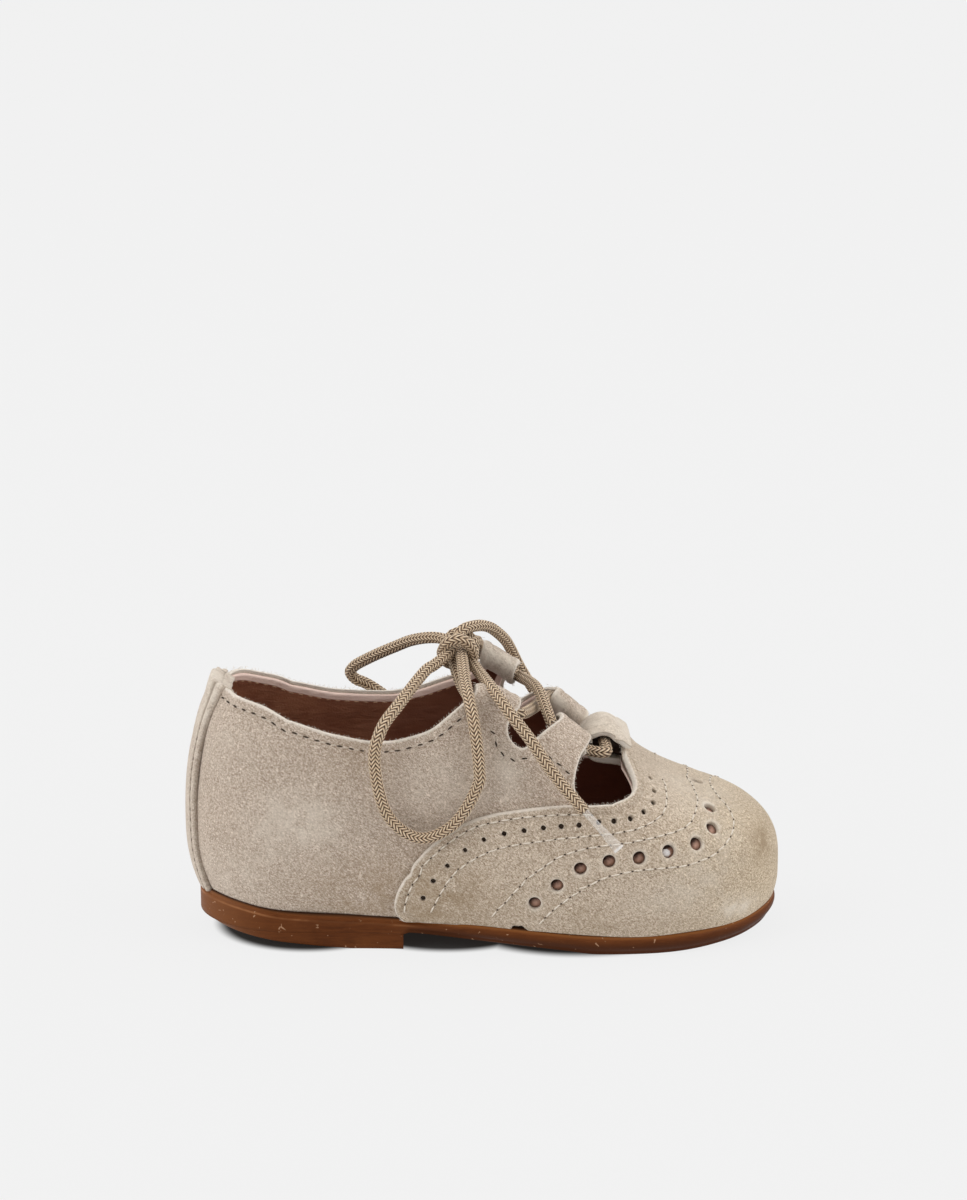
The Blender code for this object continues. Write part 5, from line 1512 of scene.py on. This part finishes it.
collarSeams, vampSeams, liningRows = [], [], []
for side in (near, far):
    collarLine = EdgeLine(upperForm["collar"][side], side, lastPoint, soften=1.2)
    notchLine, tabLine = (EdgeLine(stitchForm[key], side, lastPoint) for key in ("notch", "tabSeam"))
    for line, inset in ((collarLine, stitchForm["rimIn"]), (notchLine, 0.0), (tabLine, 0.0)):
        collarSeams.append((line, inset, quarterLift(line, side, inset)[:, None] + 0.04))
    liningRows.append(alongLine(collarLine, stitchForm["liningIn"], liningForm["inner"] - 0.02,
                                stitchForm["liningPitch"]))
    for key in ("vampEdge", "second", "innerWing", "outerWing"):
        line = EdgeLine(stitchForm[key], side, vampPoint)
        vampSeams.append((line, 0.0, vampLift(line, side)[:, None] + 0.07))
sewSeams("collarStitch", collarSeams, "suede", suedeThread, stitchForm["collar"])
sewSeams("vampStitch", vampSeams, "suede", paleThread, stitchForm["vamp"])
place(setBeads("liningStitch", *stacked(liningRows), liningThread, *stitchForm["lining"]), "lining_leather")

# needle marks down the heel strip: dark beads as painted shade in the needle holes
marks = [alongLine(stripLines[side], stitchForm["stripIn"], stripForm["outer"] - 0.2, stitchForm["stripPitch"], 0.2)
         for side in (near, far)]
place(setBeads("stripMarks", *stacked(marks), holeShadeDark, *stitchForm["stripMark"]), "suede")

# dark floors in the small punched holes as painted shade, a disc in each big one with painted shadow toward its upper
# wall, and lint in one of them
holeForm = {
    "floor": (1.7, 1.7, 0.5), "floorLift": 0.3,
    "discReach": 1.75, "discSides": 22, "discLift": 0.12, "dome": 0.2, "shadowUp": 0.85, "shadowBack": 0.5,
    "lintHole": 5, "lint": (2.2, 1.9, 0.9), "lintLift": 0.35, "lintBack": 0.3, "lintLow": 0.4,
}


def alongWay(a, u, side):
    return unit(lastPoint(a + 0.5, u, side) - lastPoint(a - 0.5, u, side))


floors = []
for side in (near, far):
    for a, u, *size in vampForm["smallHoles"] + (vampForm["nick"] if side == near else ()):
        lean = outward(lastPoint, a, u, side)
        floors.append((lastPoint(a, u, side) + lean * holeForm["floorLift"], alongWay(a, u, side), lean))
place(setBeads("holeFloors", *stacked(floors), holeShadeDark, *holeForm["floor"], 0.0, 2), "suede")
shadeMat, net, shader = newMaterial("holeShade")
grain = net.noise(net.spot(), 1500, 3, 0.6)
# painted shadow: darker toward each big hole's upper wall
deep = net.plus(net.attribute("deep"), net.times(net.minus(grain, 0.5), 0.8))
net.link(net.mix(net.fade(deep, -0.35, 0.55), srgb(190, 150, 132), srgb(58, 34, 25)), shader.inputs["Base Color"])
setInputs(shader, Roughness=0.8)
sides, reach, dome = (holeForm[key] for key in ("discSides", "discReach", "dome"))
angle = np.linspace(0, 2 * math.pi, sides, endpoint=False)
verts, faces, shadowRows = [], [], []
for side in (near, far):
    for a, u in vampForm["bigHoles"] + ((vampForm["peakHole"],) if side == near else ()):
        lean = outward(lastPoint, a, u, side)
        rise = unit(lastPoint(a, u + 0.01, side) - lastPoint(a, u - 0.01, side))
        ahead = np.cross(rise, lean)
        middle, base = lastPoint(a, u, side), len(verts)
        rim = middle + lean * holeForm["discLift"]
        ring = [rim + reach * (math.cos(t) * ahead + math.sin(t) * rise) for t in angle]
        verts += ring + [middle + lean * dome, middle - lean * dome]
        faces += [[base + k, base + (k + 1) % sides, base + sides] for k in range(sides)]
        faces += [[base + (k + 1) % sides, base + k, base + sides + 1] for k in range(sides)]
        shadowWay = unit(holeForm["shadowUp"] * rise - holeForm["shadowBack"] * ahead * np.sign(ahead[0] + 1e-9))
        shadowRows += [float(np.dot(v - middle, shadowWay)) / reach for v in ring] + [0.0, 0.0]
holeBottoms = makePiece("holeBottoms", np.array(verts), faces, [shadeMat], {"deep": np.array(shadowRows)})
place(holeBottoms, "lining_leather")
a, u = vampForm["bigHoles"][holeForm["lintHole"]]
lean, way = outward(lastPoint, a, u, near), alongWay(a, u, near)
low = unit(np.cross(way, lean))
low *= -np.sign(low[2])
lintSpot = lastPoint(a, u, near) + lean * holeForm["lintLift"]
lintSpot = lintSpot - way * holeForm["lintBack"] + low * holeForm["lintLow"]
place(setBeads("holeLint", lintSpot[None], way[None], lean[None], paleLint, *holeForm["lint"], 0.0, 2), "suede")
print("stitches done")

# raw edges: short pale fibres that stand off the cut line
fuzzForm = {"pitch": 0.55, "length": 0.85, "wide": 0.075, "scatter": 0.35, "sway": 0.9, "start": 0.25, "seed": 21}
chance = np.random.default_rng(fuzzForm["seed"])
fibres = []
for side in (near, far):
    for line, offset in ((edgeLines["top", side], -0.3), (edgeLines["vamp", side], 0.9)):
        surface = tabPoint if offset < 0 else vampPoint
        a, u = line.line.T
        points, leans = surface(a, u, side), outward(surface, a, u, side, 1.3)
        run = runOf(points)
        at = np.arange(0.3, run[-1] - 0.3, fuzzForm["pitch"])
        spot, lean, ahead = (pick(at, run, rows) for rows in (points, leans, np.gradient(points, axis=0)))
        lean, ahead = unit(lean), unit(ahead)
        out = np.cross(ahead, lean)
        out *= np.sign((out * pick(at, run, -line.inward)).sum(1, keepdims=True))
        outSway, sideSway = (fuzzForm["sway"] * chance.normal(0, 1, (len(at), 1)) for turn in range(2))
        way = unit(out + lean * outSway + ahead * sideSway)
        spot = spot + lean * (offset + chance.normal(0, fuzzForm["scatter"], (len(at), 1))) + way * fuzzForm["start"]
        fibres.append((spot, way, np.cross(way, ahead)))
wide = fuzzForm["wide"]
place(setBeads("edgeFuzz", *stacked(fibres), paleThread, fuzzForm["length"], wide, wide, 0.25, 17), "suede")
print("fuzz done")

# floor, backdrop and light
stageForm = {
    "world": 0.42, "glow": 0.822, "reach": 3500.0, "bendFrom": 900.0, "bendBy": 700.0,
    "ring": 3200.0, "ringTall": 3000.0, "ringLow": -5.0, "ringSides": 64, "ringGlow": 0.889,
    # contact shade under heel, shank and ball: x, y, reach along x, reach along y
    "contact": ((-40, 0, 23, 22.5), (-8, 0, 26, 23.5), (22, 0, 32, 27.5)), "contactFade": (0.70, 1.02),
    # name, where it comes from, strength, spread in degrees
    "lights": (("leftLight", (-1.0, -0.25, 0.6), 1.75, 60), ("rightLight", (1.0, -0.25, 0.6), 1.55, 60),
               ("topLight", (0.1, 0.2, 1.0), 0.85, 80)),
}
mat, net, shader = newMaterial("paleFloor")
spot = net.spot()
grain = net.noise(spot, 14, 2, 0.5)
xyz = net.split(spot)
shade = None
for middleX, middleY, reachX, reachY in stageForm["contact"]:
    offX, offY = (net.maths("DIVIDE", net.minus(xyz[axis], middle * mm), reach * mm)
                  for axis, middle, reach in (("X", middleX, reachX), ("Y", middleY, reachY)))
    squares = net.plus(net.times(offX, offX), net.times(offY, offY))
    one = net.fade(squares, *stageForm["contactFade"], 1.0, 0.0)
    shade = one if shade is None else net.maths("MAXIMUM", shade, one)
net.link(net.mix(grain, srgb(62, 62, 62), srgb(64, 64, 64)), shader.inputs["Base Color"])
net.link(net.mix(shade, srgb(255, 255, 255), srgb(38, 35, 33)), shader.inputs["Emission Color"])
setInputs(shader, Emission_Strength=stageForm["glow"], Roughness=0.7, Specular_IOR_Level=0.0)
reach, bendFrom, bendBy = (stageForm[key] for key in ("reach", "bendFrom", "bendBy"))
bend = [(bendFrom + bendBy * math.sin(t), bendBy - bendBy * math.cos(t)) for t in np.linspace(0.1, math.pi / 2, 16)]
profile = [(-reach, 0.0), (bendFrom, 0.0)] + bend + [(bendFrom + bendBy, reach)]
verts = [(x, y, z) for y, z in profile for x in (-reach, reach)]
faces = [[2 * k, 2 * k + 1, 2 * k + 3, 2 * k + 2] for k in range(len(profile) - 1)]
floor = makePiece("floor", verts, faces, [mat])

# a wall all round that only the camera sees, so the floor has no visible end from other sides
mat, net, shader = newMaterial("paleWall")
setInputs(shader, Base_Color=srgb(0, 0, 0), Specular_IOR_Level=0.0, Emission_Color=srgb(255, 255, 255),
          Emission_Strength=stageForm["ringGlow"])
ring, count = stageForm["ring"], stageForm["ringSides"]
turns = np.linspace(0, 2 * math.pi, count, endpoint=False)
levels = (stageForm["ringLow"], stageForm["ringTall"])
verts = [(ring * math.cos(t), ring * math.sin(t), z) for z in levels for t in turns]
faces = [[k, (k + 1) % count, (k + 1) % count + count, k + count] for k in range(count)]
wall = makePiece("wall", verts, faces, [mat])
wall.visible_diffuse = wall.visible_glossy = wall.visible_shadow = wall.visible_transmission = False

world = bpy.data.worlds.new("studio")
bpy.context.scene.world = world
world.use_nodes = True
setInputs(world.node_tree.nodes["Background"], Color=(1.0, 1.0, 1.0, 1.0), Strength=stageForm["world"])
bpy.context.scene.view_settings.view_transform = "Standard"


def sunLight(name, source, strength, spread):  # broad light from a direction, even over the floor
    data = bpy.data.lights.new(name, "SUN")
    data.energy, data.angle = strength, math.radians(spread)
    light = bpy.data.objects.new(name, data)
    light.rotation_euler = (-Vector(source)).to_track_quat("-Z", "Y").to_euler()
    bpy.context.scene.collection.objects.link(light)


for light in stageForm["lights"]:
    sunLight(*light)
print("stage set")
